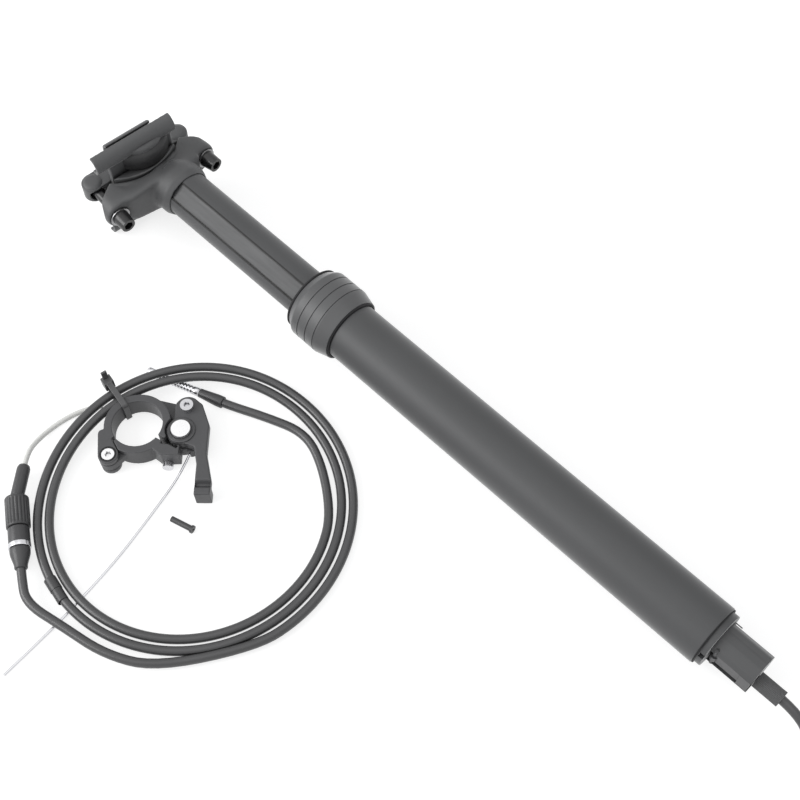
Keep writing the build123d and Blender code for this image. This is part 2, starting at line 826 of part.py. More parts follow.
# Saddle head: forged body with two ears, a trough for the rocker and a socket for the stanchion
with BuildPart() as saddle_head:
    with BuildSketch(head_side):
        with BuildLine():
            trough_drop = sqrt(trough_radius**2 - trough_half_length**2)
            trough_end = rocker_rise - trough_drop
            ThreePointArc(
                (-trough_half_length, trough_end),
                (0, rocker_rise - trough_radius),
                (trough_half_length, trough_end),
            )
            head_setback = -head_origin.Y
            neck_root_height = head_origin.X - neck_lip
            Polyline(
                (trough_half_length, trough_end),
                (ear_top_reach, ear_top_height),
                (ear_shoulder_reach, ear_shoulder_height),
                (ear_tip_reach, ear_tip_height),
                (ear_tip_reach, boss_height),
                (boss_inner_reach, boss_height),
                (boss_inner_reach, front_web_height),
                (neck_radius + head_setback, neck_root_height + neck_straight),
                (head_setback, neck_root_height + neck_straight),
                (head_setback - neck_radius, neck_root_height + neck_straight),
                (-rear_web_reach, rear_web_height),
                (-boss_inner_reach, boss_height),
                (-ear_tip_reach, boss_height),
                (-ear_tip_reach, ear_tip_height),
                (-ear_shoulder_reach, ear_shoulder_height),
                (-ear_top_reach, ear_top_height),
                (-trough_half_length, trough_end),
            )
        make_face()
    extrude(amount=neck_radius, both=True)
    with BuildSketch(head_plan.offset(head_plan_bottom)):
        with BuildLine():
            taper_angle = asin((head_waist_radius - ear_width_radius) / (ear_tip_reach - ear_width_radius))
            tip_centre = ear_tip_reach - ear_width_radius
            waist_x = head_waist_radius * sin(taper_angle)
            waist_y = head_waist_radius * cos(taper_angle)
            tip_x = tip_centre + ear_width_radius * sin(taper_angle)
            tip_y = ear_width_radius * cos(taper_angle)
            Line((waist_x, waist_y), (tip_x, tip_y))
            ThreePointArc((tip_x, tip_y), (ear_tip_reach, 0), (tip_x, -tip_y))
            Line((tip_x, -tip_y), (waist_x, -waist_y))
            ThreePointArc((waist_x, -waist_y), (0, -head_waist_radius), (-waist_x, -waist_y))
            Line((-waist_x, -waist_y), (-tip_x, -tip_y))
            ThreePointArc((-tip_x, -tip_y), (-ear_tip_reach, 0), (-tip_x, tip_y))
            Line((-tip_x, tip_y), (-waist_x, waist_y))
            ThreePointArc((-waist_x, waist_y), (0, head_waist_radius), (waist_x, waist_y))
        make_face()
    extrude(amount=head_plan_top - head_plan_bottom, mode=Mode.INTERSECT)
    with BuildSketch(Plane.XY):
        with BuildLine():
            Polyline(
                (neck_tip, 0),
                (neck_tip, neck_taper_radius),
                (neck_lip, neck_radius),
                (neck_lip - neck_straight, neck_radius),
                (neck_lip - neck_straight - neck_dome, neck_dome_radius),
                (neck_lip - neck_straight - neck_dome, 0),
                close=True,
            )
        make_face()
    revolve(axis=Axis.X)
    with BuildSketch(head_side):
        with Locations((0, rocker_rise)):
            Circle(trough_radius)
    extrude(amount=2 * neck_radius, both=True, mode=Mode.SUBTRACT)
    with BuildSketch(slice_plane(neck_tip + cut_overrun)):
        Circle(stanchion_radius + press_gap)
    extrude(amount=stanchion_top - neck_tip - cut_overrun, mode=Mode.SUBTRACT)
    for side in (-1, 1):
        dome_centre = bolt_seat(side) - bolt_plane(side).z_dir * washer_dome_radius
        for swing in bolt_swings_in_head:
            with BuildSketch(swung_bolt_plane(side, dome_centre, cut_overrun - washer_dome_radius, swing)):
                Circle(bolt_hole_radius)
            extrude(amount=nut_height - bolt_seat_height, mode=Mode.SUBTRACT)
        dish_radius = washer_radius + dish_swing_gap
        dish_dome = washer_dome_radius + free_gap
        dish_edge = sqrt(dish_dome**2 - dish_radius**2) - washer_dome_radius
        dish_mouth = boss_height - bolt_seat_height - cut_overrun
        with BuildSketch(bolt_profile_plane(side)):
            with BuildLine():
                Polyline((0, free_gap), (0, dish_mouth), (dish_radius, dish_mouth), (dish_radius, dish_edge))
                RadiusArc((dish_radius, dish_edge), (0, free_gap), -dish_dome)
            make_face()
        revolve(axis=bolt_axis(side), mode=Mode.SUBTRACT)
save(saddle_head, "saddle_head")

# Lower cradle: two long rail channels on a plate, round cheeks under it and the rocker in the trough
with BuildPart() as lower_cradle:
    with BuildSketch(clamp_side) as rocker_side:
        with Locations((0, rocker_rise)):
            Circle(rocker_radius)
        with Locations((0, -rocker_top + rocker_radius)):
            Rectangle(2 * rocker_radius, 2 * rocker_radius, mode=Mode.SUBTRACT)
    extrude(amount=rocker_half_width, both=True)
    with BuildSketch(clamp_side) as cheek_side:
        with Locations((cheek_reach, cheek_rise)):
            Circle(cheek_radius)
        with Locations((cheek_reach, cradle_plate_top + cheek_radius)):
            Rectangle(2 * cheek_radius, 2 * cheek_radius, mode=Mode.SUBTRACT)
    extrude(amount=cheek_half_width, both=True)
    with BuildSketch(clamp_side.offset(-rail_spacing / 2)):
        with Locations((0, cradle_plate_top - cradle_plate_depth / 2)):
            Rectangle(cradle_plate_length, cradle_plate_depth)
    extrude(amount=rail_spacing)
    with BuildSketch(clamp_section.offset(-wing_length / 2 - wing_offset)):
        for rail_side in (-1, 1):
            with Locations((rail_side * rail_spacing / 2, 0)):
                Circle(wing_radius)
    extrude(amount=wing_length)
    with BuildSketch(clamp_section.offset(-wing_length / 2 - wing_offset)):
        for rail_side in (-1, 1):
            with Locations((rail_side * rail_spacing / 2, 0)):
                Circle(rail_radius)
            with Locations((rail_side * rail_spacing / 2, wing_lip + wing_radius)):
                Rectangle(2 * wing_radius + cut_overrun, 2 * wing_radius)
    extrude(amount=wing_length, mode=Mode.SUBTRACT)
save(lower_cradle, "lower_cradle")

# Upper clamp: a bar with an ear at each end, a thin plate and two short channels over the rails
top_wing_radius = rail_radius + top_wing_wall
with BuildPart() as upper_clamp:
    bar_top = nut_height + ear_radius
    bar_foot = cradle_plate_top + free_gap
    with BuildSketch(clamp_side):
        with Locations((0, (bar_top + bar_foot) / 2)):
            Rectangle(2 * nut_reach, bar_top - bar_foot)
        with Locations((-nut_reach, nut_height), (nut_reach, nut_height)):
            Circle(ear_radius)
    extrude(amount=bar_half_width, both=True)
    with BuildSketch(clamp_section.offset(-top_wing_length / 2 - top_wing_offset)):
        for rail_side in (-1, 1):
            with Locations((rail_side * rail_spacing / 2, 0)):
                Circle(top_wing_radius)
        with Locations((0, top_wing_radius - top_plate_thickness / 2)):
            Rectangle(rail_spacing, top_plate_thickness)
    extrude(amount=top_wing_length)
    with BuildSketch(clamp_section.offset(-top_wing_length / 2 - top_wing_offset)):
        for rail_side in (-1, 1):
            with Locations((rail_side * rail_spacing / 2, 0)):
                Circle(rail_radius)
            with Locations((rail_side * rail_spacing / 2, top_wing_gap - top_wing_radius)):
                Rectangle(2 * top_wing_radius + cut_overrun, 2 * top_wing_radius)
    extrude(amount=top_wing_length, mode=Mode.SUBTRACT)
    with BuildSketch(clamp_side.offset(-bar_half_width - cut_overrun)):
        with Locations((-nut_reach, nut_height), (nut_reach, nut_height)):
            Circle(nut_radius + running_gap)
    extrude(amount=2 * (bar_half_width + cut_overrun), mode=Mode.SUBTRACT)
    for side in (-1, 1):
        for swing in bolt_swings_in_clamp:
            with BuildSketch(swung_bolt_plane(side, nut_centre(side), bolt_to_nut(side), swing)):
                Circle(ear_slot_radius)
            extrude(amount=2 * bolt_to_nut(side), mode=Mode.SUBTRACT)
save(upper_clamp, "upper_clamp")

# Front and rear: barrel nut, bolt and washer
for side, end_name in ((1, "front"), (-1, "rear")):
    with BuildPart() as barrel_nut:
        with BuildSketch(clamp_side.offset(-nut_half_length)):
            with Locations((side * nut_reach, nut_height)):
                Circle(nut_radius)
        extrude(amount=2 * nut_half_length)
        with BuildSketch(bolt_plane(side)):
            Circle(bolt_radius + nut_bolt_gap)
        extrude(amount=2 * bolt_to_nut(side), mode=Mode.SUBTRACT)
    save(barrel_nut, f"{end_name}_barrel_nut")

    with BuildPart() as saddle_bolt:
        head_root = -washer_thickness
        with BuildSketch(bolt_plane(side).offset(head_root)):
            Circle(bolt_radius)
        extrude(amount=washer_thickness + bolt_to_nut(side) + bolt_past_nut)
        with BuildSketch(bolt_plane(side).offset(head_root)):
            Circle(bolt_head_radius)
        with BuildSketch(bolt_plane(side).offset(head_root - bolt_head_length)):
            Circle(bolt_head_end_radius)
        loft()
        with BuildSketch(bolt_plane(side).offset(head_root - bolt_head_length)):
            RegularPolygon(hex_flats / 2, 6, major_radius=False)
        extrude(amount=hex_depth, mode=Mode.SUBTRACT)
    save(saddle_bolt, f"{end_name}_saddle_bolt")

    with BuildPart() as washer:
        washer_edge = sqrt(washer_dome_radius**2 - washer_radius**2) - washer_dome_radius
        washer_hole_radius = bolt_radius + press_gap
        washer_crown = sqrt(washer_dome_radius**2 - washer_hole_radius**2) - washer_dome_radius
        with BuildSketch(bolt_profile_plane(side)):
            with BuildLine():
                Polyline(
                    (washer_hole_radius, washer_crown),
                    (washer_hole_radius, -washer_thickness),
                    (washer_radius, -washer_thickness),
                    (washer_radius, washer_edge),
                )
                dome_foot = (washer_radius, washer_edge)
                RadiusArc(dome_foot, (washer_hole_radius, washer_crown), -washer_dome_radius)
            make_face()
        revolve(axis=bolt_axis(side))
    save(washer, f"{end_name}_washer")


def unit(heading):
    """The floor direction at this heading."""
    return Vector(cos(radians(heading)), sin(radians(heading)), 0)


def print_cord(name, length, radius):
    """Prints a cord's length and the volume that its tube should have."""
    print(f"{name}: {length:.1f} mm long, {pi * radius**2 * length:.1f} mm3 expected")


def tube_radii(route):
    """The largest radius that each corner of a route allows."""
    radii = []
    for before, corner, after in zip(route, route[1:], route[2:]):
        run_in = Vector(*corner) - Vector(*before)
        run_out = Vector(*after) - Vector(*corner)
        half_turn = radians(run_in.get_angle(run_out)) / 2
        radii.append(corner_share * min(run_in.length, run_out.length) / tan(half_turn))
    return radii


def cord_path(route):
    """Straight runs joined by arcs through a hand-laid route; prints its corner radii."""
    radii = tube_radii(route)
    print("corner radii:", [round(radius, 1) for radius in radii])
    return FilletPolyline(*route, radius=radii)


def add_biarc(start, leaving, finish, arriving):
    """Joins two points, each with its unit direction, by two tangent arcs."""
    span = finish - start
    along = span.dot(leaving + arriving)
    spread = 2 * (1 - leaving.dot(arriving))
    reach = (sqrt(along**2 + spread * span.dot(span)) - along) / spread
    start_handle = start + leaving * reach
    finish_handle = finish - arriving * reach
    middle = (start_handle + finish_handle) * 0.5
    return (
        TangentArc(start, middle, tangent=leaving),
        TangentArc(middle, finish, tangent=finish_handle - middle),
    )


def save_threaded_tip(name, spot, place):
    """Writes a turned tip that lies along its plane's Z, with a thread of plain grooves."""
    with BuildPart() as threaded_tip:
        tip_reach = strand_tip_length if name == "strand_tip" else tip_length
        with BuildSketch(spot.offset(connector_length)):
            Circle(tip_radius)
        extrude(amount=tip_reach)
        groove_count = int((tip_reach - 2 * tip_end_length) / tip_thread_pitch)
        for groove in range(groove_count):
            groove_reach = connector_length + tip_end_length + groove * tip_thread_pitch
            with BuildSketch(spot.offset(groove_reach)):
                Circle(tip_radius)
                Circle(tip_radius - tip_thread_depth, mode=Mode.SUBTRACT)
            extrude(amount=tip_thread_pitch / 2, mode=Mode.SUBTRACT)
    save(threaded_tip, name, place)


def save_connector(name, spot, place):
    """Writes a tapered connector that starts at its plane and runs along the plane's Z."""
    with BuildPart() as connector:
        with BuildSketch(spot):
            Circle(connector_radius)
        extrude(amount=connector_collar)
        with BuildSketch(spot.offset(connector_collar)):
            Circle(connector_radius)
        with BuildSketch(spot.offset(connector_length)):
            Circle(connector_nose_radius)
        loft()
    save(connector, name, place)


# Tail cable: out of the barrel, down to the floor and to its connector, just past the photographed stretch
row_place = Location((0, 0, 0))
cable_root = barrel_top + barrel_length - barrel_mouth_depth + free_gap
with BuildPart() as tail_cable:
    cable_route = []
    for cable_x in (cable_root, cable_root + tail_straight):
        axis_point = lay_down * Location((cable_x, -barrel_offset, 0))
        cable_route.append(tuple(axis_point.position))
    print("tail cable starts at", cable_route)
    for point_x, point_y, point_rise in tail_route:
        cable_route.append((point_x, point_y, floor + point_rise))
    with BuildLine() as tail_line:
        cord_path(cable_route)
    tail_wire = tail_line.wires()[0]
    with BuildSketch(Plane(origin=tail_wire @ 0, z_dir=tail_wire % 0)):
        Circle(cable_radius)
    sweep(path=tail_wire)
    print_cord("tail cable", tail_wire.length, cable_radius)
save(tail_cable, "tail_cable", row_place)
tail_end = Plane(origin=tail_wire @ 1, z_dir=tail_wire % 1)
save_connector("tail_connector", tail_end, row_place)
save_threaded_tip("tail_tip", tail_end, row_place)

# Coil of housing: a flat spiral in quarter turns, lifted where the tip and the wire pass under it
kit_place = Location((kit_x, kit_y, floor), (0, 0, kit_turn))
adjuster_way = unit(adjuster_heading)
adjuster_top = Vector(*adjuster_spot, adjuster_rise)
adjuster_span = adjuster_length + band_length + pale_ring_length + nose_length
coil_start = adjuster_top + adjuster_way * adjuster_span
coil_end_way = unit(coil_exit_heading)
coil_end = unit(coil_exit_angle) * coil_exit_radius + Vector(0, 0, connector_radius)
with BuildPart() as cable_coil:
    straight_end = 2 * cable_radius
    nodes = [(coil_start + adjuster_way * straight_end, adjuster_way)]
    lead_rise = cable_radius + coil_lifts[0]
    lead_spot = unit(coil_lead_angle) * coil_lead_radius + Vector(0, 0, lead_rise)
    nodes.append((lead_spot, unit(coil_lead_angle + coil_quarter)))
    for quarter in range(coil_quarters + 1):
        angle = coil_first_angle + quarter * coil_quarter
        radius = coil_radius - coil_pitch * quarter * coil_quarter / full_turn
        rise = cable_radius + coil_lifts[quarter % len(coil_lifts)]
        nodes.append((unit(angle) * radius + Vector(0, 0, rise), unit(angle + coil_quarter)))
    nodes.append((coil_end - coil_end_way * straight_end, coil_end_way))
    with BuildLine() as coil_line:
        Line(coil_start, nodes[0][0])
        for (start, leaving), (finish, arriving) in zip(nodes, nodes[1:]):
            add_biarc(start, leaving, finish, arriving)
        Line(nodes[-1][0], coil_end)
    coil_wire = coil_line.wires()[0]
    with BuildSketch(Plane(origin=coil_wire @ 0, z_dir=coil_wire % 0)):
        Circle(cable_radius)
    sweep(path=coil_wire)
    sample_count = coil_samples * (coil_quarters + 2)
    samples = [coil_wire @ (sample / sample_count) for sample in range(sample_count + 1)]
    apart = coil_samples
    gaps = []
    for first in range(len(samples) - apart):
        for second in range(first + apart, len(samples)):
            gaps.append((samples[first] - samples[second]).length)
    print(f"coil: {coil_wire.length:.0f} mm long, least gap {min(gaps) - 2 * cable_radius:.2f} mm")
save(cable_coil, "cable_coil", kit_place)
strand_end = Plane(origin=coil_end, z_dir=coil_end_way)
save_connector("strand_connector", strand_end, kit_place)
save_threaded_tip("strand_tip", strand_end, kit_place)


def save_turned(name, start, steps, bore_radius, place=kit_place):
    """Writes a turned piece on a plane's Z: each step is its length, first radius and last radius."""
    with BuildPart() as turned:
        reach = 0
        for step_length, first_radius, last_radius in steps:
            with BuildSketch(start.offset(reach)):
                Circle(first_radius)
            with BuildSketch(start.offset(reach + step_length)):
                Circle(last_radius)
            loft()
            reach += step_length
        if bore_radius:
            with BuildSketch(start):
                Circle(bore_radius)
            extrude(amount=reach, mode=Mode.SUBTRACT)
    save(turned, name, place)


# Adjuster between the liner and the coil: boot, ribbed barrel, band, pale ring and nose
adjuster_start = Plane(origin=adjuster_top, z_dir=adjuster_way)
band_start = adjuster_start.offset(adjuster_length)
pale_ring_start = band_start.offset(band_length)
nose_start = pale_ring_start.offset(pale_ring_length)
boot_way = unit(boot_heading)
boot_start = Plane(origin=adjuster_top - boot_way * (boot_length + boot_gap), z_dir=boot_way)
boot_steps = (
    (boot_neck_length, boot_neck_radius, boot_radius),
    (boot_length - boot_neck_length, boot_radius, boot_radius),
)
save_turned("adjuster_boot", boot_start, boot_steps, wire_bore_radius)
with BuildPart() as adjuster_barrel:
    with BuildSketch(adjuster_start):
        Circle(adjuster_radius)
        with PolarLocations(adjuster_radius, adjuster_ribs):
            Circle(adjuster_rib_depth, mode=Mode.SUBTRACT)
        Circle(wire_bore_radius, mode=Mode.SUBTRACT)
    extrude(amount=adjuster_length - free_gap)
save(adjuster_barrel, "adjuster_barrel", kit_place)
save_turned("adjuster_band", band_start, ((band_length, band_radius, band_radius),), wire_bore_radius)
pale_ring_steps = ((pale_ring_length, pale_ring_radius, pale_ring_radius),)
save_turned("adjuster_ring", pale_ring_start, pale_ring_steps, wire_bore_radius)
save_turned("adjuster_nose", nose_start, ((nose_length, nose_radius, nose_tip_radius),), 0)

# Liner out of the boot and inner wire out of the remote
with BuildPart() as liner:
    liner_starts = [tuple(boot_start.origin), tuple(boot_start.origin - boot_way * liner_straight)]
    print("liner starts at", liner_starts)
    with BuildLine() as liner_line:
        cord_path(liner_starts + list(liner_route))
    liner_wire = liner_line.wires()[0]
    with BuildSketch(Plane(origin=liner_wire @ 0, z_dir=liner_wire % 0)):
        Circle(liner_radius)
    sweep(path=liner_wire)
    print_cord("liner", liner_wire.length, liner_radius)
save(liner, "liner", kit_place)

with BuildPart() as inner_wire:
    with BuildLine() as inner_line:
        cord_path(wire_route)
    inner_path = inner_line.wires()[0]
    with BuildSketch(Plane(origin=inner_path @ 0, z_dir=inner_path % 0)):
        Circle(inner_wire_radius)
    sweep(path=inner_path)
    print_cord("inner wire", inner_path.length, inner_wire_radius)
save(inner_wire, "inner_wire", kit_place)

# Stepped sleeve round one strand, and the loose end sleeve on the floor
sleeve_turns = sleeve_turn + (sleeve_angle - coil_first_angle - full_turn) / full_turn
sleeve_spot = unit(sleeve_angle) * (coil_radius - coil_pitch * sleeve_turns)
sleeve_way = unit(sleeve_angle + coil_quarter)
sleeve_origin = sleeve_spot - sleeve_way * sleeve_length + Vector(0, 0, cable_radius + coil_lifts[0])
sleeve_start = Plane(origin=sleeve_origin, z_dir=sleeve_way)
sleeve_steps = (
    (sleeve_length, sleeve_radius, sleeve_radius),
    (sleeve_length, sleeve_step_radius, sleeve_step_radius),
)
save_turned("strand_sleeve", sleeve_start, sleeve_steps, sleeve_bore_radius)
end_sleeve_origin = Vector(*end_sleeve_spot, end_sleeve_flange_radius)
end_sleeve_start = Plane(origin=end_sleeve_origin, z_dir=unit(end_sleeve_heading))
end_sleeve_steps = (
    (end_sleeve_length - end_sleeve_flange, end_sleeve_radius, end_sleeve_radius),
    (end_sleeve_flange, end_sleeve_flange_radius, end_sleeve_flange_radius),
)
save_turned("end_sleeve", end_sleeve_start, end_sleeve_steps, inner_wire_radius)

# Remote body: most of the bar ring, hinge leaves, the plate with its drum, and a nub where the wire leaves
remote_place = kit_place * Location((*remote_spot, 0))
ring_top = ring_foot + ring_height
sector_reach = 2 * ring_radius
split_corners = [(0, 0)]
for sector_angle in (split_angles[0], sum(split_angles) / 2, split_angles[1]):
    split_corner = unit(sector_angle) * sector_reach
    split_corners.append((split_corner.X, split_corner.Y))


def hinge_leaf_outline(extra):
    """Draws a hinge leaf and its link to the ring, grown by a gap."""
    with Locations(hinge_spot):
        Circle(hinge_radius + extra)
    with Locations(hinge_link):
        Circle(hinge_radius / 2 + extra)
    make_hull()


with BuildPart() as remote_body:
    with BuildSketch(Plane.XY.offset(ring_foot)):
        Circle(ring_radius)
        Polygon(*split_corners, align=None, mode=Mode.SUBTRACT)
    extrude(amount=ring_height)
    for leaf_foot in (ring_foot, ring_top - hinge_leaf):
        with BuildSketch(Plane.XY.offset(leaf_foot)):
            hinge_leaf_outline(0)
        extrude(amount=hinge_leaf)
    with BuildSketch(Plane.XY):
        Polygon(*web_outline, align=None)
        with Locations(pivot_spot):
            Circle(hub_radius)
        with Locations(nub_spot):
            Circle(nub_radius)
    extrude(amount=plate_height)
    with BuildSketch(Plane.XY):
        Circle(bar_radius)
    extrude(amount=ring_top, mode=Mode.SUBTRACT)
    with BuildSketch(Plane.XY.offset(plate_height)):
        with Locations(pivot_spot):
            Circle(lever_hub_radius + free_gap)
    extrude(amount=ring_top - plate_height, mode=Mode.SUBTRACT)
    with BuildSketch(Plane.XY):
        with Locations(pivot_spot):
            Circle(pivot_radius + running_gap)
    extrude(amount=plate_height, mode=Mode.SUBTRACT)
    with BuildSketch(Plane.XY.offset(ring_foot)):
        with Locations(hinge_spot):
            Circle(hinge_screw_radius + press_gap)
    extrude(amount=ring_height, mode=Mode.SUBTRACT)
    with BuildSketch(Plane.XY.offset(ring_top - hinge_head_depth)):
        with Locations(hinge_spot):
            Circle(hinge_head_radius + press_gap)
    extrude(amount=hinge_head_depth, mode=Mode.SUBTRACT)
    closing_face = lug_outline[1][1]
    with BuildSketch(Plane.XZ.offset(-closing_face)):
        with Locations((closing_x, closing_rise)):
            Circle(closing_radius + press_gap)
    extrude(amount=-closing_depth, mode=Mode.SUBTRACT)
save(remote_body, "remote_body", remote_place)

# Clamp band: the rest of the ring, its hinge eye and the lug that the closing bolt pulls up
with BuildPart() as clamp_band:
    with BuildSketch(Plane.XY.offset(ring_foot)):
        Circle(ring_radius)
        Polygon(*split_corners, align=None, mode=Mode.INTERSECT)
        Polygon(*lug_outline, align=None)
    extrude(amount=ring_height)
    with BuildSketch(Plane.XY.offset(ring_foot + hinge_leaf + free_gap)):
        with Locations(hinge_spot):
            Circle(hinge_radius)
        with Locations((hinge_spot[0] / 2, -ring_radius + hinge_radius / 2)):
            Circle(hinge_radius / 2)
        make_hull()
    extrude(amount=ring_height - 2 * (hinge_leaf + free_gap))
    with BuildSketch(Plane.XY):
        Circle(bar_radius)
    extrude(amount=ring_top, mode=Mode.SUBTRACT)
    for leaf_foot in (ring_foot, ring_top - hinge_leaf - free_gap):
        with BuildSketch(Plane.XY.offset(leaf_foot)):
            hinge_leaf_outline(free_gap)
        extrude(amount=hinge_leaf + free_gap, mode=Mode.SUBTRACT)
    for split_angle, shift in zip(split_angles, (1, -1)):
        with BuildSketch(Plane.XY.offset(ring_foot)):
            with Locations(Rotation(0, 0, split_angle) * Location((ring_radius, shift * split_gap / 2))):
                Rectangle(ring_radius, split_gap)
        extrude(amount=ring_height, mode=Mode.SUBTRACT)
    with BuildSketch(Plane.XY):
        with Locations(pivot_spot):
            Circle(hub_radius + free_gap)
        with Locations(nub_spot):
            Circle(nub_radius + free_gap)
    extrude(amount=ring_top, mode=Mode.SUBTRACT)
    with BuildSketch(Plane.XY.offset(ring_foot)):
        with Locations(hinge_spot):
            Circle(hinge_screw_radius + press_gap)
    extrude(amount=ring_height, mode=Mode.SUBTRACT)
    with BuildSketch(Plane.XZ):
        with Locations((closing_x, closing_rise)):
            Circle(closing_radius + press_gap)
    extrude(amount=2 * ring_radius, mode=Mode.SUBTRACT)
save(clamp_band, "clamp_band", remote_place)

with BuildPart() as hinge_screw:
    with BuildSketch(Plane.XY.offset(ring_foot)):
        with Locations(hinge_spot):
            Circle(hinge_screw_radius)
    extrude(amount=ring_height - hinge_head_depth)
    with BuildSketch(Plane.XY.offset(ring_top - hinge_head_depth)):
        with Locations(hinge_spot):
            Circle(hinge_head_radius)
            RegularPolygon(pinch_hex_flats / 2, 6, major_radius=False, mode=Mode.SUBTRACT)
    extrude(amount=hinge_head_depth)
save(hinge_screw, "hinge_screw", remote_place)

with BuildPart() as closing_bolt:
    lug_foot = lug_outline[3][1]
    with BuildSketch(Plane.XZ.offset(-lug_foot)):
        with Locations((closing_x, closing_rise)):
            Circle(closing_head_radius)
    extrude(amount=closing_head_length)
    with BuildSketch(Plane.XZ.offset(-lug_foot)):
        with Locations((closing_x, closing_rise)):
            Circle(closing_radius)
    extrude(amount=-(closing_face + closing_depth - lug_foot))
save(closing_bolt, "closing_bolt", remote_place)

# Thumb lever: hub, lobe for the pinch bolt, arm and the pad bent down at its end
lever_foot = plate_height + lever_gap
with BuildPart() as thumb_lever:
    with BuildSketch(Plane.XY.offset(lever_foot)):
        Polygon(*arm_outline, align=None)
        with Locations(pivot_spot):
            Circle(lever_hub_radius)
        with Locations(lobe_spot):
            Circle(lobe_radius)
    extrude(amount=lever_height)
    with BuildSketch(Plane.XY.offset(pad_foot)):
        with Locations(pad_spot):
            Rectangle(pad_width, pad_depth)
    extrude(amount=lever_foot + lever_height - pad_foot)
    with BuildSketch(Plane.XY.offset(lever_foot)):
        with Locations(pivot_spot):
            Circle(pivot_radius + running_gap)
        with Locations(lobe_spot):
            Circle(pinch_bolt_radius + press_gap)
    extrude(amount=lever_height, mode=Mode.SUBTRACT)
save(thumb_lever, "thumb_lever", remote_place)

lever_top = lever_foot + lever_height
with BuildPart() as pivot_bolt:
    with BuildSketch(Plane.XY.offset(pad_foot)):
        with Locations(pivot_spot):
            Circle(pivot_radius)
    extrude(amount=lever_top + free_gap - pad_foot)
    with BuildSketch(Plane.XY.offset(lever_top + free_gap)):
        with Locations(pivot_spot):
            Circle(pivot_head_radius)
    extrude(amount=pivot_head_length)
save(pivot_bolt, "pivot_bolt", remote_place)

with BuildPart() as pinch_bolt:
    with BuildSketch(Plane.XY.offset(lever_foot)):
        with Locations(lobe_spot):
            Circle(pinch_bolt_radius)
    extrude(amount=lever_height)
    with BuildSketch(Plane.XY.offset(lever_top)):
        with Locations(lobe_spot):
            Circle(pinch_head_radius)
    extrude(amount=pinch_head_length)
    with BuildSketch(Plane.XY.offset(lever_top + pinch_head_length - pinch_hex_depth)):
        with Locations(lobe_spot):
            RegularPolygon(pinch_hex_flats / 2, 6, major_radius=False)
    extrude(amount=pinch_hex_depth, mode=Mode.SUBTRACT)
save(pinch_bolt, "pinch_bolt", remote_place)

# Cable tie: a strap through the remote's ring and round both strands, its head outside with the tail's stub
tie_angle = degrees(atan2(remote_spot[1], remote_spot[0]))
tie_way = unit(tie_angle)
tie_inner_reach = hypot(*remote_spot) + bar_radius - tie_clearance - tie_strap
outer_strand_turn = (tie_angle - coil_first_angle + full_turn) / full_turn
outer_strand_radius = coil_radius - coil_pitch * outer_strand_turn
tie_outer_reach = outer_strand_radius + cable_radius + tie_clearance + tie_strap
tie_plane = Plane(origin=(0, 0, 0), x_dir=tie_way, z_dir=tie_way.cross(Vector(0, 0, 1)))
with BuildPart() as cable_tie:
    with BuildSketch(tie_plane.offset(-tie_width / 2)):
        tie_middle = ((tie_inner_reach + tie_outer_reach) / 2, tie_top / 2)
        tie_span = tie_outer_reach - tie_inner_reach
        with Locations(tie_middle):
            RectangleRounded(tie_span, tie_top, tie_corner)
            tie_hollow = (tie_span - 2 * tie_strap, tie_top - 2 * tie_strap)
            RectangleRounded(*tie_hollow, tie_corner - tie_strap, mode=Mode.SUBTRACT)
    extrude(amount=tie_width)
    with BuildSketch(tie_plane.offset(-tie_head_width / 2)):
        with Locations((tie_outer_reach - tie_strap + tie_head_depth / 2, tie_top - tie_head_height / 2)):
            Rectangle(tie_head_depth, tie_head_height)
    extrude(amount=tie_head_width)
    with BuildSketch(tie_plane.offset(-tie_width / 2)):
        with Locations((tie_outer_reach + tie_head_depth / 2, tie_top + tie_tail_length / 2)):
            Rectangle(tie_tail_thickness, tie_tail_length)
    extrude(amount=tie_width)
save(cable_tie, "cable_tie", kit_place)
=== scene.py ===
import json
from math import atan2, cos, hypot, pi, radians, sin
import bmesh
import bpy
from mathutils import Matrix, Vector


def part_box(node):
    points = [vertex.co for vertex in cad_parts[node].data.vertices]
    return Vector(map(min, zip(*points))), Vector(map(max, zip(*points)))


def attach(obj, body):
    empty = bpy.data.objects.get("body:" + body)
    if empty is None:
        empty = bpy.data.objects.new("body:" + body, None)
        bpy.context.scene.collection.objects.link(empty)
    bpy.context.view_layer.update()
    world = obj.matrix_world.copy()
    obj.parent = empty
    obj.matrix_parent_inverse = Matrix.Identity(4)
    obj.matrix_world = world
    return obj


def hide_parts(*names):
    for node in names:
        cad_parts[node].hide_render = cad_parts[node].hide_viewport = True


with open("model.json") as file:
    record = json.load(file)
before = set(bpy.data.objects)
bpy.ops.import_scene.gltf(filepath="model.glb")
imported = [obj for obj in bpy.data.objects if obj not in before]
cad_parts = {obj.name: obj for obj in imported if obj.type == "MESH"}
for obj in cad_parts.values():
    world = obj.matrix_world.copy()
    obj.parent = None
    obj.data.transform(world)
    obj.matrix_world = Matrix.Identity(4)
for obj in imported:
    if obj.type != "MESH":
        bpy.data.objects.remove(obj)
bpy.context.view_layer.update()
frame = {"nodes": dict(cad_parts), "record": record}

MM = 0.001
record = frame["record"]
joints = {joint["name"]: joint for joint in record["behaviour"]["joints"]}
body_of = {node: body for body, names in record["behaviour"]["bodies"].items() for node in names}
nodes = {name: bpy.data.objects.get(name) for name in frame["nodes"]}

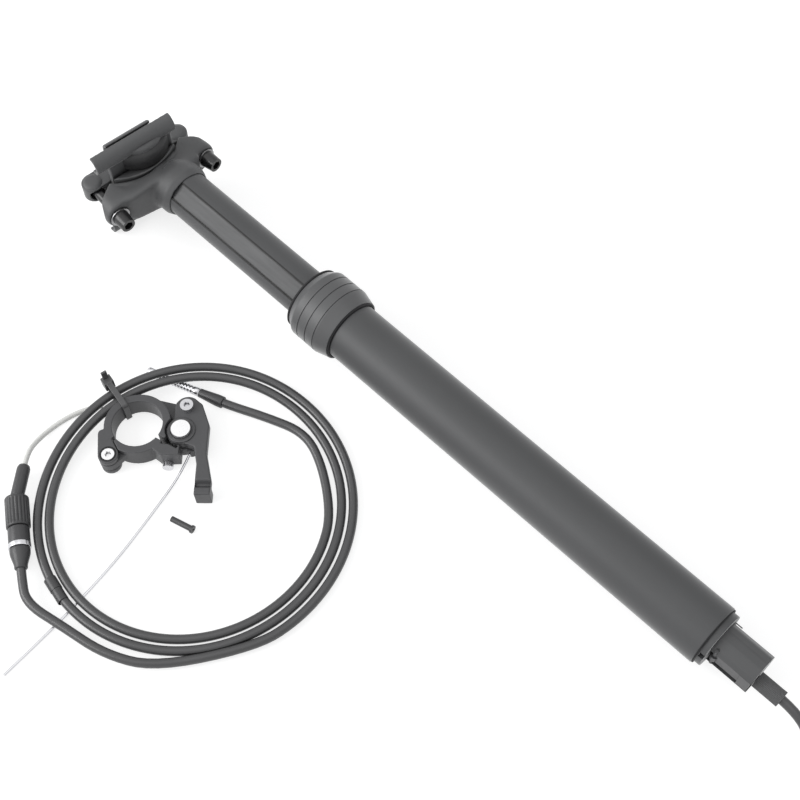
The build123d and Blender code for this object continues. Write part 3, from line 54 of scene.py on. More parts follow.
# Where the post lies. Its frame has X from the collar's foot to the tail, Y to the bike's front and Z to
# the bike's right-hand side
tube_length = 201.4
drop_way = Vector(joints["post_drop"]["axis"])
rest_angle = atan2(-drop_way.z, drop_way.x)
floor_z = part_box("outer_tube")[0][2]
post_turn = Matrix.Rotation(rest_angle, 4, "Y")
post_frame = post_turn @ Matrix.Translation((-tube_length / 2 * MM, 0, 0))
post_back = post_frame.inverted()

kit_x = -96.0
kit_y = -101.0
kit_turn = 43.3
kit_frame = (Matrix.Translation((kit_x * MM, kit_y * MM, floor_z))
             @ Matrix.Rotation(radians(kit_turn), 4, "Z"))


def heading(angle):
    return Vector((cos(radians(angle)), sin(radians(angle)), 0))


def frame_along(spot, way):
    """A frame at a spot whose X runs along a way and whose Z stands up."""
    x_way = way.normalized()
    y_way = Vector((0, 0, 1)).cross(x_way).normalized()
    turn = Matrix((x_way, y_way, x_way.cross(y_way))).transposed()
    return Matrix.Translation(spot) @ turn.to_4x4()


# Camera, at the photograph's angle and distance
camera_spot = Vector((0.16357, -0.21721, 0.52474))
camera_right = Vector((0.71677, 0.69661, -0.03136))
camera_ahead = Vector((-0.37086, 0.34273, -0.86313))
focal_pixels = 1415.0
picture_pixels = 800.0
camera_data = bpy.data.cameras.new("camera")
camera_data.sensor_width = 36.0
camera_data.lens = focal_pixels / picture_pixels * camera_data.sensor_width
camera = bpy.data.objects.new("camera", camera_data)
bpy.context.collection.objects.link(camera)
camera_back = -camera_ahead.normalized()
camera_up = camera_back.cross(camera_right.normalized())
camera_turn = Matrix((camera_right.normalized(), camera_up, camera_back)).transposed()
camera.matrix_world = Matrix.Translation(camera_spot) @ camera_turn.to_4x4()
bpy.context.scene.camera = camera


# Materials
mottle_scale = 38.0
noise_span = (0.3, 0.7)
# Painted shade: the share of a surface's colour that is left in its deepest corner
darkest_painted_shade = 0.25
corner_samples = 8
grain_height = 0.2
coat_roughness = 0.25
sheen_roughness = 0.35


def node_maker(tree):
    """Clears a node tree and returns a function that adds a node with its settings and inputs."""
    tree.nodes.clear()

    def add(kind, inputs=None, **settings):
        node = tree.nodes.new(kind)
        for name, value in settings.items():
            setattr(node, name, value)
        for name, value in (inputs or {}).items():
            if isinstance(value, bpy.types.NodeSocket):
                tree.links.new(value, node.inputs[name])
            else:
                node.inputs[name].default_value = value
        return node

    return add


def surface(name, colour, roughness, metallic=0.0, grain=2500.0, bump=0.05, spread=0.12, mottle=0.06,
            stretch=(1.0, 1.0, 1.0), coat=0.0, sheen=0.0, shade_reach=0.8, shade_range=(0.5, 0.85),
            shade_from_self=True, shade_lines=None):
    """A mottled surface with a fine bump and varied roughness, and painted shade in corners a reach wide.
    """
    material = bpy.data.materials.new(name)
    material.use_nodes = True
    add = node_maker(material.node_tree)
    place = add("ShaderNodeTexCoord").outputs["Object"]
    stretched = add("ShaderNodeMapping", {"Vector": place, "Scale": stretch}).outputs[0]
    fine = add("ShaderNodeTexNoise", {
        "Vector": stretched, "Scale": grain, "Detail": 3.0, "Roughness": 0.6}).outputs["Fac"]
    broad = add("ShaderNodeTexNoise", {
        "Vector": place, "Scale": mottle_scale, "Detail": 4.0, "Roughness": 0.55}).outputs["Fac"]
    ramp = add("ShaderNodeValToRGB", {"Fac": broad})
    for stop, position, share in zip(ramp.color_ramp.elements, noise_span, (1 - mottle, 1 + mottle)):
        stop.position = position
        stop.color = (*(min(1.0, channel * share) for channel in colour), 1.0)
    rough = add("ShaderNodeMapRange", {
        "Value": fine, "From Min": noise_span[0], "From Max": noise_span[1],
        "To Min": roughness * (1 - spread), "To Max": roughness * (1 + spread)})
    # Painted shade: the colour is darkened where ambient occlusion finds corners, creases and gaps between
    # parts
    corner = add("ShaderNodeAmbientOcclusion", {"Distance": shade_reach * MM},
                 only_local=shade_from_self, samples=corner_samples)
    depth = add("ShaderNodeMapRange", {
        "Value": corner.outputs["AO"], "From Min": shade_range[0], "From Max": shade_range[1],
        "To Min": darkest_painted_shade, "To Max": 1.0})
    shade = depth.outputs["Result"]
    # Painted shade lines, such as the dark keyway walls, darken the colour further
    if shade_lines:
        line_shade = shade_lines(add, place)
        shade = add("ShaderNodeMath", {0: shade, 1: line_shade}, operation="MULTIPLY").outputs[0]
    shaded = add("ShaderNodeVectorMath", {0: ramp.outputs["Color"], "Scale": shade}, operation="SCALE")
    relief = add("ShaderNodeBump", {"Height": fine, "Strength": bump, "Distance": grain_height * MM})
    shader = add("ShaderNodeBsdfPrincipled", {
        "Base Color": shaded.outputs[0], "Roughness": rough.outputs["Result"],
        "Normal": relief.outputs["Normal"], "Metallic": metallic, "Coat Weight": coat,
        "Coat Roughness": coat_roughness, "Sheen Weight": sheen, "Sheen Roughness": sheen_roughness})
    add("ShaderNodeOutputMaterial", {"Surface": shader.outputs["BSDF"]})
    return material


# The stanchion's keyways and the painted shade along each of their walls
keyway_width = 8.4
keyway_floor_radius = 9.6
keyway_angles = (0, 125, -125)
keyway_line_reach = 0.4
keyway_line_edges = (0.4, 0.8)
keyway_line_shade = 0.04


def keyway_wall_shade(add, place):
    """A painted-shade factor that is low on the narrow walls of the stanchion's keyways and 1 elsewhere."""
    def calc(operation, first, second=0.0):
        return add("ShaderNodeMath", {0: first, 1: second}, operation=operation).outputs[0]

    def measured(way):
        return add("ShaderNodeVectorMath", {0: own_place, 1: way}, operation="DOT_PRODUCT").outputs["Value"]

    to_post = post_back @ nodes["stanchion"].matrix_world
    own_place = add("ShaderNodeMapping", {
        "Vector": place, "Location": to_post.translation, "Rotation": to_post.to_euler()}).outputs[0]
    nearest = 1.0
    for angle in keyway_angles:
        turn = radians(angle)
        out = measured((0.0, cos(turn), sin(turn)))
        across = measured((0.0, -sin(turn), cos(turn)))
        beside = calc("ABSOLUTE", calc("SUBTRACT", calc("ABSOLUTE", across), keyway_width / 2 * MM))
        below = calc("SUBTRACT", (keyway_floor_radius - keyway_line_reach) * MM, out)
        nearest = calc("MINIMUM", nearest, calc("MAXIMUM", beside, below))
    wall = add("ShaderNodeMapRange", {
        "Value": nearest, "From Min": keyway_line_edges[0] * MM, "From Max": keyway_line_edges[1] * MM,
        "To Min": keyway_line_shade, "To Max": 1.0})
    return wall.outputs["Result"]


# The post's dark finishes, each darkened by painted shade in its corners and crevices
tube_black = surface(
    "tube_black", (0.054, 0.055, 0.057), 0.5, grain=3200.0, bump=0.12, mottle=0.04, sheen=0.75,
    shade_from_self=False)
collar_black = surface(
    "collar_black", (0.084, 0.085, 0.087), 0.45, grain=2600.0, bump=0.08, mottle=0.04, sheen=0.7,
    shade_reach=0.25, shade_from_self=False)
housing_black = surface(
    "housing_black", (0.062, 0.063, 0.065), 0.42, grain=2600.0, bump=0.08, mottle=0.04, sheen=0.5)
stanchion_grey = surface(
    "stanchion_grey", (0.056, 0.057, 0.059), 0.5, grain=900.0, bump=0.03, mottle=0.05,
    stretch=(0.04, 1.0, 1.0), sheen=0.45, shade_reach=0.6, shade_lines=keyway_wall_shade)
# The forged black reaches far with its painted shade, so that the head's hollows go dark
forged_black = surface(
    "forged_black", (0.07, 0.071, 0.073), 0.5, grain=1500.0, bump=0.3, mottle=0.08, sheen=0.3,
    shade_reach=3.4, shade_range=(0.4, 0.85), shade_from_self=False)
# The cradle's black has deep painted shade under its wing and cheeks, with a lighter colour to make up for
# it
cradle_shaded_black = surface(
    "cradle_shaded_black", (0.08, 0.081, 0.083), 0.5, grain=1500.0, bump=0.3, mottle=0.08, sheen=0.3,
    shade_reach=7.5, shade_range=(0.45, 0.8), shade_from_self=False)
# Painted shadow: a near black for the cheeks' bases, where the cradle's underside lies in shade
cheek_shadow = surface("cheek_shadow", (0.022, 0.022, 0.023), 0.6, grain=1500.0, bump=0.2, mottle=0.08)
bolt_black = surface("bolt_black", (0.01, 0.01, 0.011), 0.3, grain=1500.0, bump=0.05, coat=0.1)

# Bare and plated metals
bright_steel = surface(
    "bright_steel", (0.62, 0.62, 0.64), 0.24, metallic=1.0, grain=1800.0, bump=0.04, spread=0.25)
dull_steel = surface(
    "dull_steel", (0.09, 0.09, 0.093), 0.42, metallic=1.0, grain=1800.0, bump=0.06, spread=0.25)
polished_steel = surface("polished_steel", (0.86, 0.86, 0.87), 0.3, metallic=0.8, grain=1800.0, bump=0.03)
washer_steel = surface("washer_steel", (0.3, 0.3, 0.305), 0.35, metallic=1.0, grain=1800.0, bump=0.05)
oxide_steel = surface("oxide_steel", (0.075, 0.075, 0.078), 0.42, metallic=0.2, grain=1500.0, bump=0.08)
barrel_grey = surface(
    "barrel_grey", (0.115, 0.116, 0.118), 0.45, grain=1500.0, bump=0.08, sheen=0.3, shade_reach=0.5)
bare_aluminium = surface("bare_aluminium", (0.7, 0.71, 0.73), 0.3, metallic=1.0, grain=1200.0, bump=0.05)
key_brass = surface("key_brass", (0.62, 0.44, 0.2), 0.3, metallic=1.0, grain=1200.0, bump=0.05)

# Rubber and plastics
seal_rubber = surface("seal_rubber", (0.007, 0.007, 0.008), 0.75, grain=1800.0, bump=0.2, mottle=0.1)
slide_polymer = surface("slide_polymer", (0.16, 0.17, 0.18), 0.45, grain=1500.0, bump=0.08)
tie_plastic = surface("tie_plastic", (0.08, 0.08, 0.082), 0.4, grain=2200.0, bump=0.12, mottle=0.06)
black_plastic = surface("black_plastic", (0.045, 0.045, 0.047), 0.38, grain=2200.0, bump=0.18, mottle=0.08)
sheath = surface("sheath", (0.05, 0.05, 0.052), 0.36, grain=700.0, bump=0.06, mottle=0.1, coat=0.2)
liner_white = surface("liner_white", (0.68, 0.68, 0.66), 0.28, grain=900.0, bump=0.04, mottle=0.04)
remote_black = surface(
    "remote_black", (0.06, 0.06, 0.063), 0.45, grain=2200.0, bump=0.15, mottle=0.06, shade_reach=1.6,
    shade_range=(0.45, 0.88))


def link_piece(name, data, material, body):
    """Puts a mesh or curve in the scene, rides it on a body and shades it."""
    piece = bpy.data.objects.new(name, data)
    bpy.context.collection.objects.link(piece)
    data.materials.clear()
    data.materials.append(material)
    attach(piece, body)
    return piece


# Cords
def cord_curve(name, points, radius, material, body="post"):
    """A free cord as one smooth open spline through the route's neighbourhood."""
    curve = bpy.data.curves.new(name, "CURVE")
    curve.dimensions = "3D"
    spline = curve.splines.new("NURBS")
    spline.points.add(len(points) - 1)
    for point, place in zip(spline.points, points):
        point.co = (*place, 1.0)
    spline.order_u = 3
    spline.use_endpoint_u = True
    spline.resolution_u = 6
    curve.bevel_depth = radius
    curve.bevel_resolution = 6
    curve.use_fill_caps = True
    return link_piece(name, curve, material, body)


def kit_points(route):
    """Kit millimetres to scene metres."""
    return [kit_frame @ (Vector(point) * MM) for point in route]


cable_radius = 2.0
liner_radius = 1.2
inner_wire_radius = 0.6
coil_radius = 69.5
coil_pitch = 5.0
coil_first_angle = 282.0
coil_exit_heading = 154.5
coil_steps_per_turn = 24
coil_turns = 2.25
coil_lifts = (1.4, 0.0, 5.4, 1.4)
coil_lead = (
    (-68.46, -29.97, 5.3),
    (-67.6, -33.9, 5.3),
    (-64.6, -44.6, 4.6),
    (-48.6, -54.1, 3.6),
    (-29.6, -66.2, 3.4),
    (-8.0, -71.6, 3.4),
)
coil_tail = ((54.5, 19.8, 2.1), (46.4, 36.0, 2.4), (28.6, 43.8, 2.7), (12.7, 49.5, 2.7), (9.03, 51.21, 2.7))


def coil_rise(place):
    """Height of the cable's middle at a place counted in quarter turns, eased between the quarters."""
    quarter = int(place)
    share = place - quarter
    start = coil_lifts[quarter % 4]
    finish = coil_lifts[(quarter + 1) % 4]
    eased = 2 * share**2 if share < 0.5 else 1 - 2 * (1 - share)**2
    return cable_radius + start + (finish - start) * eased


# A spline of order 3 runs inside a ring of its points, so the points' ring is larger by this factor
ring_growth = 1 / (0.75 + 0.25 * cos(2 * pi / coil_steps_per_turn))
coil_route = list(coil_lead)
coil_step_count = round(coil_turns * coil_steps_per_turn)
for step in range(1, coil_step_count):
    turns = step / coil_steps_per_turn
    ring_radius = (coil_radius - coil_pitch * turns) * ring_growth
    spot = heading(coil_first_angle + 360 * turns) * ring_radius
    coil_route.append((spot.x, spot.y, coil_rise(turns * 4)))
coil_route += coil_tail
cable_coil = cord_curve("housing_coil", kit_points(coil_route), cable_radius * MM, sheath)

tail_route = (
    (132.49, -1.9, -5.39 - floor_z / MM),
    (143.88, -1.9, -5.86 - floor_z / MM),
    (153.6, -5.6, 4.6),
    (164.6, -15.0, 2.1),
    (172.6, -32.0, 2.0),
    (175.2, -53.0, 2.0),
    (170.6, -75.0, 2.3),
    (163.4, -92.6, 2.8),
)
tail_points = [Vector((x * MM, y * MM, floor_z + rise * MM)) for x, y, rise in tail_route]
tail_cable = cord_curve("tail_lead", tail_points, cable_radius * MM, sheath)

liner_route = (
    (-74.43, 18.57, 5.3),
    (-74.06, 24.56, 5.3),
    (-72.0, 31.4, 3.0),
    (-67.2, 38.6, 1.3),
    (-60.3, 44.6, 1.25),
    (-52.6, 48.8, 1.25),
    (-45.2, 50.8, 1.25),
)
liner = cord_curve("pale_liner", kit_points(liner_route), liner_radius * MM, liner_white)

wire_route = (
    (-3.6, 25.3, 2.6),
    (-6.7, 17.2, 1.5),
    (-11.7, 8.0, 0.65),
    (-20.4, -7.2, 0.65),
    (-30.0, -23.2, 0.65),
    (-41.0, -38.6, 0.65),
    (-54.4, -56.0, 0.65),
    (-70.0, -74.0, 0.65),
)
inner_wire = cord_curve("bare_wire", kit_points(wire_route), inner_wire_radius * MM, bright_steel)

for piece, node in ((cable_coil, "cable_coil"), (tail_cable, "tail_cable"), (liner, "liner"),
                    (inner_wire, "inner_wire")):
    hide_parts(node)


# Pieces skinned over rings of points. A profile is a row of places along a frame's X, each with a radius
round_steps = 48
boss_steps = 64
seal_steps = 96
steps_per_rib = 8
corner_share = 0.45
closed_radius = 0.2


def rounded_profile(corners, fillet, steps=4):
    """The corners of a turned profile with every inner one rounded."""
    corners = [Vector(corner) for corner in corners]
    rounded = [corners[0]]
    for before, corner, after in zip(corners, corners[1:], corners[2:]):
        way_in = before - corner
        way_out = after - corner
        cut = min(fillet, corner_share * way_in.length, corner_share * way_out.length)
        start = corner + way_in.normalized() * cut
        finish = corner + way_out.normalized() * cut
        for step in range(steps + 1):
            share = step / steps
            rounded.append(start.lerp(corner, share).lerp(corner.lerp(finish, share), share))
    rounded.append(corners[-1])
    return rounded


def sleeve_profile(start, length, radius, bore):
    """The profile of a plain sleeve."""
    return (start, bore), (start, radius), (start + length, radius), (start + length, bore)


def band_loop(start, length, radii):
    """The section of a plain ring between two radii, closed on itself."""
    inner, outer = radii
    profile = sleeve_profile(start, length, outer, inner)
    return (*profile, profile[0])


def ring_point(place, x, reach, angle):
    """The point at a reach and an angle round a frame's X."""
    return place @ (Vector((x, reach * cos(angle), reach * sin(angle))) * MM)


def round_rings(place, profile, around):
    """A ring of points round a frame's X for every place of a profile."""
    turns = [2 * pi * index / around for index in range(around)]
    return [[ring_point(place, x, radius, turn) for turn in turns] for x, radius in profile]


def ring_piece(name, rings, material, body, close_ends=True):
    """A smooth piece skinned over rings of points."""
    shell = bmesh.new()
    loops = [[shell.verts.new(point) for point in ring] for ring in rings]
    around = len(rings[0])
    for first, second in zip(loops, loops[1:]):
        for index in range(around):
            after = (index + 1) % around
            shell.faces.new((first[index], first[after], second[after], second[index]))
    if close_ends:
        shell.faces.new(loops[0])
        shell.faces.new(list(reversed(loops[-1])))
    bmesh.ops.recalc_face_normals(shell, faces=shell.faces)
    mesh = bpy.data.meshes.new(name)
    shell.to_mesh(mesh)
    shell.free()
    for face in mesh.polygons:
        face.use_smooth = True
    return link_piece(name, mesh, material, body)


def with_rib_ends(profile, rib_ends, rib_depth):
    """A profile with the places added where its ribs start and finish."""
    outer = max(point[1] for point in profile)
    rib_places = (rib_ends[0], rib_ends[0] + rib_depth, rib_ends[1] - rib_depth, rib_ends[1])
    ribbed = []
    for before, after in zip(profile, profile[1:]):
        ribbed.append(before)
        if before[0] < rib_ends[0] and after[0] > rib_ends[1]:
            ribbed += [Vector((place, outer)) for place in rib_places]
    ribbed.append(profile[-1])
    return ribbed


def turned(name, node, place, corners, material, fillet=0.35, ribs=0, rib_depth=0.0, rib_ends=(0, 0)):
    """A turned piece along a frame's X, with optional ribs along it between two places."""
    around = max(round_steps, ribs * steps_per_rib)
    profile = rounded_profile(corners, fillet)
    if ribs:
        profile = with_rib_ends(profile, rib_ends, rib_depth)
    rings = []
    for x, radius in profile:
        depth = rib_depth if ribs and rib_ends[0] < x < rib_ends[1] else 0.0
        ring = []
        for index in range(around):
            angle = 2 * pi * index / around
            reach = radius - depth * (0.5 + 0.5 * cos(ribs * angle)) ** 2
            ring.append(ring_point(place, x, reach, angle))
        rings.append(ring)
    piece = ring_piece(name, rings, material, body_of[node])
    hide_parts(node)
    return piece


# Adjuster on the coil's first end, measured back from the end of its ribbed barrel
free_gap = 0.3
wire_bore_radius = 0.8
adjuster_spot = Vector((-75.4, 2.7, 5.3))
adjuster_heading = -78.0
adjuster_radius = 5.15
adjuster_length = 14.6
adjuster_fillet = 0.7
adjuster_ribs = 20
adjuster_rib_depth = 0.42
adjuster_rib_ends = (1.3, 12.9)
band_radius = 4.6
band_length = 7.2
pale_ring_radius = 4.8
pale_ring_length = 2.2
pale_ring_fillet = 0.3
nose_radius = 4.4
nose_shoulder_radius = 4.3
nose_shoulder_length = 2.6
nose_tip_radius = 2.8
nose_tip_length = 1.8
nose_length = 9.4
nose_fillet = 0.8
pale_ring_start = adjuster_length + band_length
nose_start = pale_ring_start + pale_ring_length
nose_end = nose_start + nose_length
nose_corners = (
    (nose_start, closed_radius),
    (nose_start, nose_radius),
    (nose_start + nose_shoulder_length, nose_shoulder_radius),
    (nose_end - nose_tip_length, nose_tip_radius),
    (nose_end, nose_tip_radius),
    (nose_end, closed_radius),
)
adjuster_frame = kit_frame @ frame_along(adjuster_spot * MM, heading(adjuster_heading))
adjuster_barrel = turned(
    "adjuster_knob", "adjuster_barrel", adjuster_frame,
    sleeve_profile(0, adjuster_length - free_gap, adjuster_radius, wire_bore_radius), black_plastic,
    fillet=adjuster_fillet, ribs=adjuster_ribs, rib_depth=adjuster_rib_depth, rib_ends=adjuster_rib_ends)
adjuster_band = turned(
    "adjuster_sleeve", "adjuster_band", adjuster_frame,
    sleeve_profile(adjuster_length, band_length, band_radius, wire_bore_radius), black_plastic)
adjuster_ring = turned(
    "adjuster_collar", "adjuster_ring", adjuster_frame,
    sleeve_profile(pale_ring_start, pale_ring_length, pale_ring_radius, wire_bore_radius), bright_steel,
    fillet=pale_ring_fillet)
adjuster_nose = turned(
    "adjuster_cone", "adjuster_nose", adjuster_frame, nose_corners, black_plastic, fillet=nose_fillet)

# The boot behind the adjuster's barrel, with the liner in its neck
boot_heading = -93.5
boot_radius = 2.9
boot_neck_radius = 2.3
boot_neck_length = 1.6
boot_neck_bore_radius = 1.25
boot_length = 15.0
boot_gap = 0.9
boot_fillet = 0.5
boot_corners = (
    (0, boot_neck_bore_radius),
    (0, boot_neck_radius),
    (boot_neck_length, boot_radius),
    (boot_length, boot_radius),
    (boot_length, wire_bore_radius),
)
boot_way = heading(boot_heading)
boot_frame = kit_frame @ frame_along((adjuster_spot - boot_way * (boot_length + boot_gap)) * MM, boot_way)
adjuster_boot = turned(
    "adjuster_gaiter", "adjuster_boot", boot_frame, boot_corners, black_plastic, fillet=boot_fillet)

# Connectors at the ends of the coil and of the tail cable, each with a threaded tip
connector_radius = 2.7
connector_nose_radius = 2.1
connector_length = 12.0
connector_collar = 3.2
connector_nose_length = 1.0
strand_tip_length = 27.0
tail_tip_length = 16.0
tip_radius = 2.0
tip_end_length = 3.0
tip_chamfer = 0.4
tip_thread_pitch = 1.6
tip_thread_depth = 0.35
tip_thread_runout = 0.2
thread_round_steps = 32
thread_pitch_steps = 8
connector_corners = (
    (0, closed_radius),
    (0, connector_radius),
    (connector_collar, connector_radius),
    (connector_length - connector_nose_length, connector_nose_radius),
    (connector_length, connector_nose_radius),
    (connector_length, closed_radius),
)


def threaded(name, node, place, length):
    """A connector's tip along a frame's X: a rod with a real thread between its plain ends."""
    start = connector_length + tip_end_length
    end = connector_length + length
    finish = end - tip_end_length
    step = tip_thread_pitch / thread_pitch_steps
    count = int((finish - start) / step)
    stations = [connector_length, start]
    stations += [start + step * (index + 1) for index in range(count)]
    stations += [finish + tip_thread_runout, end - tip_chamfer, end]
    rings = []
    for x in stations:
        cut = tip_thread_depth if start < x <= finish else 0.0
        inset = tip_chamfer if x == end else 0.0
        ring = []
        for index in range(thread_round_steps):
            turn_share = index / thread_round_steps
            phase = (x / tip_thread_pitch - turn_share) % 1.0
            reach = tip_radius - inset - cut * (1 - abs(2 * phase - 1))
            ring.append(ring_point(place, x, reach, 2 * pi * turn_share))
        rings.append(ring)
    piece = ring_piece(name, rings, bright_steel, body_of[node])
    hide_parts(node)
    return piece


strand_frame = kit_frame @ frame_along(Vector(coil_tail[-1]) * MM, heading(coil_exit_heading))
strand_connector = turned(
    "strand_ferrule", "strand_connector", strand_frame, connector_corners, black_plastic)
strand_tip = threaded("strand_stud", "strand_tip", strand_frame, strand_tip_length)
tail_frame = frame_along(tail_points[-1], tail_points[-1] - tail_points[-2])
tail_connector = turned(
    "tail_ferrule", "tail_connector", tail_frame, connector_corners, black_plastic)
tail_tip = threaded("tail_stud", "tail_tip", tail_frame, tail_tip_length)


# Wiper seal: a black flange a little proud of the collar's face, with a lip round the stanchion
collar_length = 23.5
wiper_bore_radius = 11.3
wiper_lip_radius = 12.3
wiper_lip_foot_radius = 13.2
wiper_lip_height = 0.5
wiper_flange_radius = 15.2
wiper_flange_height = 1.1
wiper_edge = 0.3
wiper_foot_edge = 0.2
wiper_back = -collar_length
wiper_face = wiper_back - wiper_flange_height
wiper_front = wiper_face - wiper_lip_height
wiper_loop = (
    (wiper_front, wiper_bore_radius),
    (wiper_front, wiper_lip_radius),
    (wiper_face, wiper_lip_foot_radius),
    (wiper_face, wiper_flange_radius - wiper_edge),
    (wiper_face + wiper_edge, wiper_flange_radius),
    (wiper_back - wiper_foot_edge, wiper_flange_radius),
    (wiper_back, wiper_flange_radius - wiper_edge),
    (wiper_back, wiper_bore_radius),
    (wiper_front, wiper_bore_radius),
)
wiper_rings = round_rings(post_frame, wiper_loop, seal_steps)
wiper_seal = ring_piece("wiper_lip", wiper_rings, seal_rubber, body_of["wiper_seal"], close_ends=False)
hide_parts("wiper_seal")

# Tail seam: a black ring in the gap between the tube and the cap, painted shade standing for the shadow in
# the gap
cap_seam = 0.3
seam_overlap = 0.05
seam_radii = (12.6, 13.3)
seam_loop = band_loop(tube_length - seam_overlap, cap_seam, seam_radii)
seam_rings = round_rings(post_frame, seam_loop, seal_steps)
ring_piece("tail_gap_shade", seam_rings, seal_rubber, body_of["outer_tube"], close_ends=False)


# Forged and moulded pieces: smooth copies of the CAD shapes
forged_voxel = 0.36
moulded_voxel = 0.25
tie_voxel = 0.15
smooth_factor = 0.5
blend_rounds = 200
kept_share = 0.4


def smooth_copy(name, node, material, voxel, rounds, shape=None, blend=None):
    """A remeshed copy of a node with soft edges; shape moves its points, blend picks the softest ones."""
    mesh = nodes[node].data.copy()
    mesh.transform(nodes[node].matrix_world)
    source = bpy.data.objects.new(name + "_source", mesh)
    bpy.context.collection.objects.link(source)
    remesh = source.modifiers.new("remesh", "REMESH")
    remesh.mode = "VOXEL"
    remesh.voxel_size = voxel * MM
    even = bpy.data.meshes.new_from_object(source.evaluated_get(bpy.context.evaluated_depsgraph_get()))
    bpy.data.objects.remove(source)
    if shape:
        moves = [shape(vertex.co, vertex.normal) for vertex in even.vertices]
        for vertex, move in zip(even.vertices, moves):
            vertex.co += move
    for face in even.polygons:
        face.use_smooth = True
    piece = link_piece(name, even, material, body_of[node])
    if blend:
        group = piece.vertex_groups.new(name="blend")
        for vertex in even.vertices:
            share = blend(vertex.co)
            if share > 0:
                group.add([vertex.index], share, "REPLACE")
        melt = piece.modifiers.new("melt", "SMOOTH")
        melt.factor = smooth_factor
        melt.iterations = blend_rounds
        melt.vertex_group = "blend"
    soften = piece.modifiers.new("soften", "SMOOTH")
    soften.factor = smooth_factor
    soften.iterations = rounds
    thin = piece.modifiers.new("thin", "DECIMATE")
    thin.ratio = kept_share
    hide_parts(node)
    return piece


def tilted_ways(tilt):
    """The ways along and up a piece that is tilted from the post's frame in the bike's middle plane."""
    turn = radians(tilt)
    along = post_turn.to_3x3() @ Vector((sin(turn), cos(turn), 0))
    up = post_turn.to_3x3() @ Vector((-cos(turn), sin(turn), 0))
    return along, up


# The head's flanks: two shallow crescents under the trough's rim, in a frame at the tilt centre
head_tilt = 3.5
trough_radius = 27.3
rim_width = 0.9
crescent_half_length = 21.0
crescent_depth = 1.3
crescent_neck_gap = 10.0
crescent_neck_fade = 5.0
first_crescent = 3.6
second_crescent = 3.4
flank_side = 6.0
flank_facing = 0.35
flank_facing_fade = 0.3
neck_lip = -109.5
tilt_centre = Vector(joints["saddle_tilt"]["pos_m"])
head_along, head_up = tilted_ways(head_tilt)
head_side = post_turn.to_3x3() @ Vector((0, 0, 1))


def crescent_move(point, normal):
    """How far a point of the head's flank sinks to form the two crescents."""
    place = (point - tilt_centre) / MM
    along = place.dot(head_along)
    up = place.dot(head_up)
    side = place.dot(head_side)
    facing = abs(normal.dot(head_side))
    share = 1 - (along / crescent_half_length) ** 2
    past_lip = neck_lip - (post_back @ point).x / MM
    share *= min(1.0, (past_lip - crescent_neck_gap) / crescent_neck_fade)
    if share <= 0 or facing < flank_facing or abs(side) < flank_side or up > 0:
        return Vector((0, 0, 0))
    below = hypot(along, up) - trough_radius - rim_width
    first = first_crescent * share
    second = second_crescent * share
    if below <= 0 or below >= first + second:
        return Vector((0, 0, 0))
    deep = below / first if below < first else (first + second - below) / second
    sink = crescent_depth * share * deep * min(1.0, (facing - flank_facing) / flank_facing_fade)
    return head_side * (-sink * MM if side > 0 else sink * MM)


# Where the head is softened most, counted from the neck's lip
neck_blend_start = 4.0
neck_blend_full = 7.0
neck_blend_fade = 11.0
neck_blend_end = 17.0
neck_core_radius = 11.5


def neck_blend(point):
    """How much the head is softened at a point: all of it where the neck grows into the flanks."""
    own_place = (post_back @ point) / MM
    past_lip = neck_lip - own_place.x
    if hypot(own_place.y, own_place.z) < neck_core_radius:
        return 0.0
    if past_lip < neck_blend_start or past_lip > neck_blend_end:
        return 0.0
    rise = (past_lip - neck_blend_start) / (neck_blend_full - neck_blend_start)
    fall = (neck_blend_end - past_lip) / (neck_blend_end - neck_blend_fade)
    return max(0.0, min(1.0, rise, fall))


# The thumb lever's bend: a shallow valley across its top just before the pad, in the remote's own frame
remote_spot = (-26.2, 36.1)
remote_place = kit_frame @ Matrix.Translation(Vector((*remote_spot, 0)) * MM)
remote_back = remote_place.inverted()
bend_place = -28.4
bend_half_width = 1.7
bend_depth = 2.2
lever_top = 9.6
lever_top_band = 0.5


def bend_move(point, normal):
    """How far a point of the lever's top sinks to form the bend."""
    place = (remote_back @ point) / MM
    share = 1 - ((place.y - bend_place) / bend_half_width) ** 2
    if share <= 0 or place.z < lever_top - lever_top_band:
        return Vector((0, 0, 0))
    return Vector((0, 0, -bend_depth * share * MM))


smooth_copy("forged_head", "saddle_head", forged_black, forged_voxel, rounds=12, shape=crescent_move,
            blend=neck_blend)
smooth_copy("rail_cradle", "lower_cradle", cradle_shaded_black, forged_voxel, rounds=6)
smooth_copy("rail_clamp", "upper_clamp", forged_black, forged_voxel, rounds=8)
smooth_copy("remote_frame", "remote_body", remote_black, moulded_voxel, rounds=9)
smooth_copy("remote_band", "clamp_band", remote_black, moulded_voxel, rounds=9)
smooth_copy("remote_lever", "thumb_lever", remote_black, moulded_voxel, rounds=18, shape=bend_move)
smooth_copy("bundle_tie", "cable_tie", tie_plastic, tie_voxel, rounds=3)


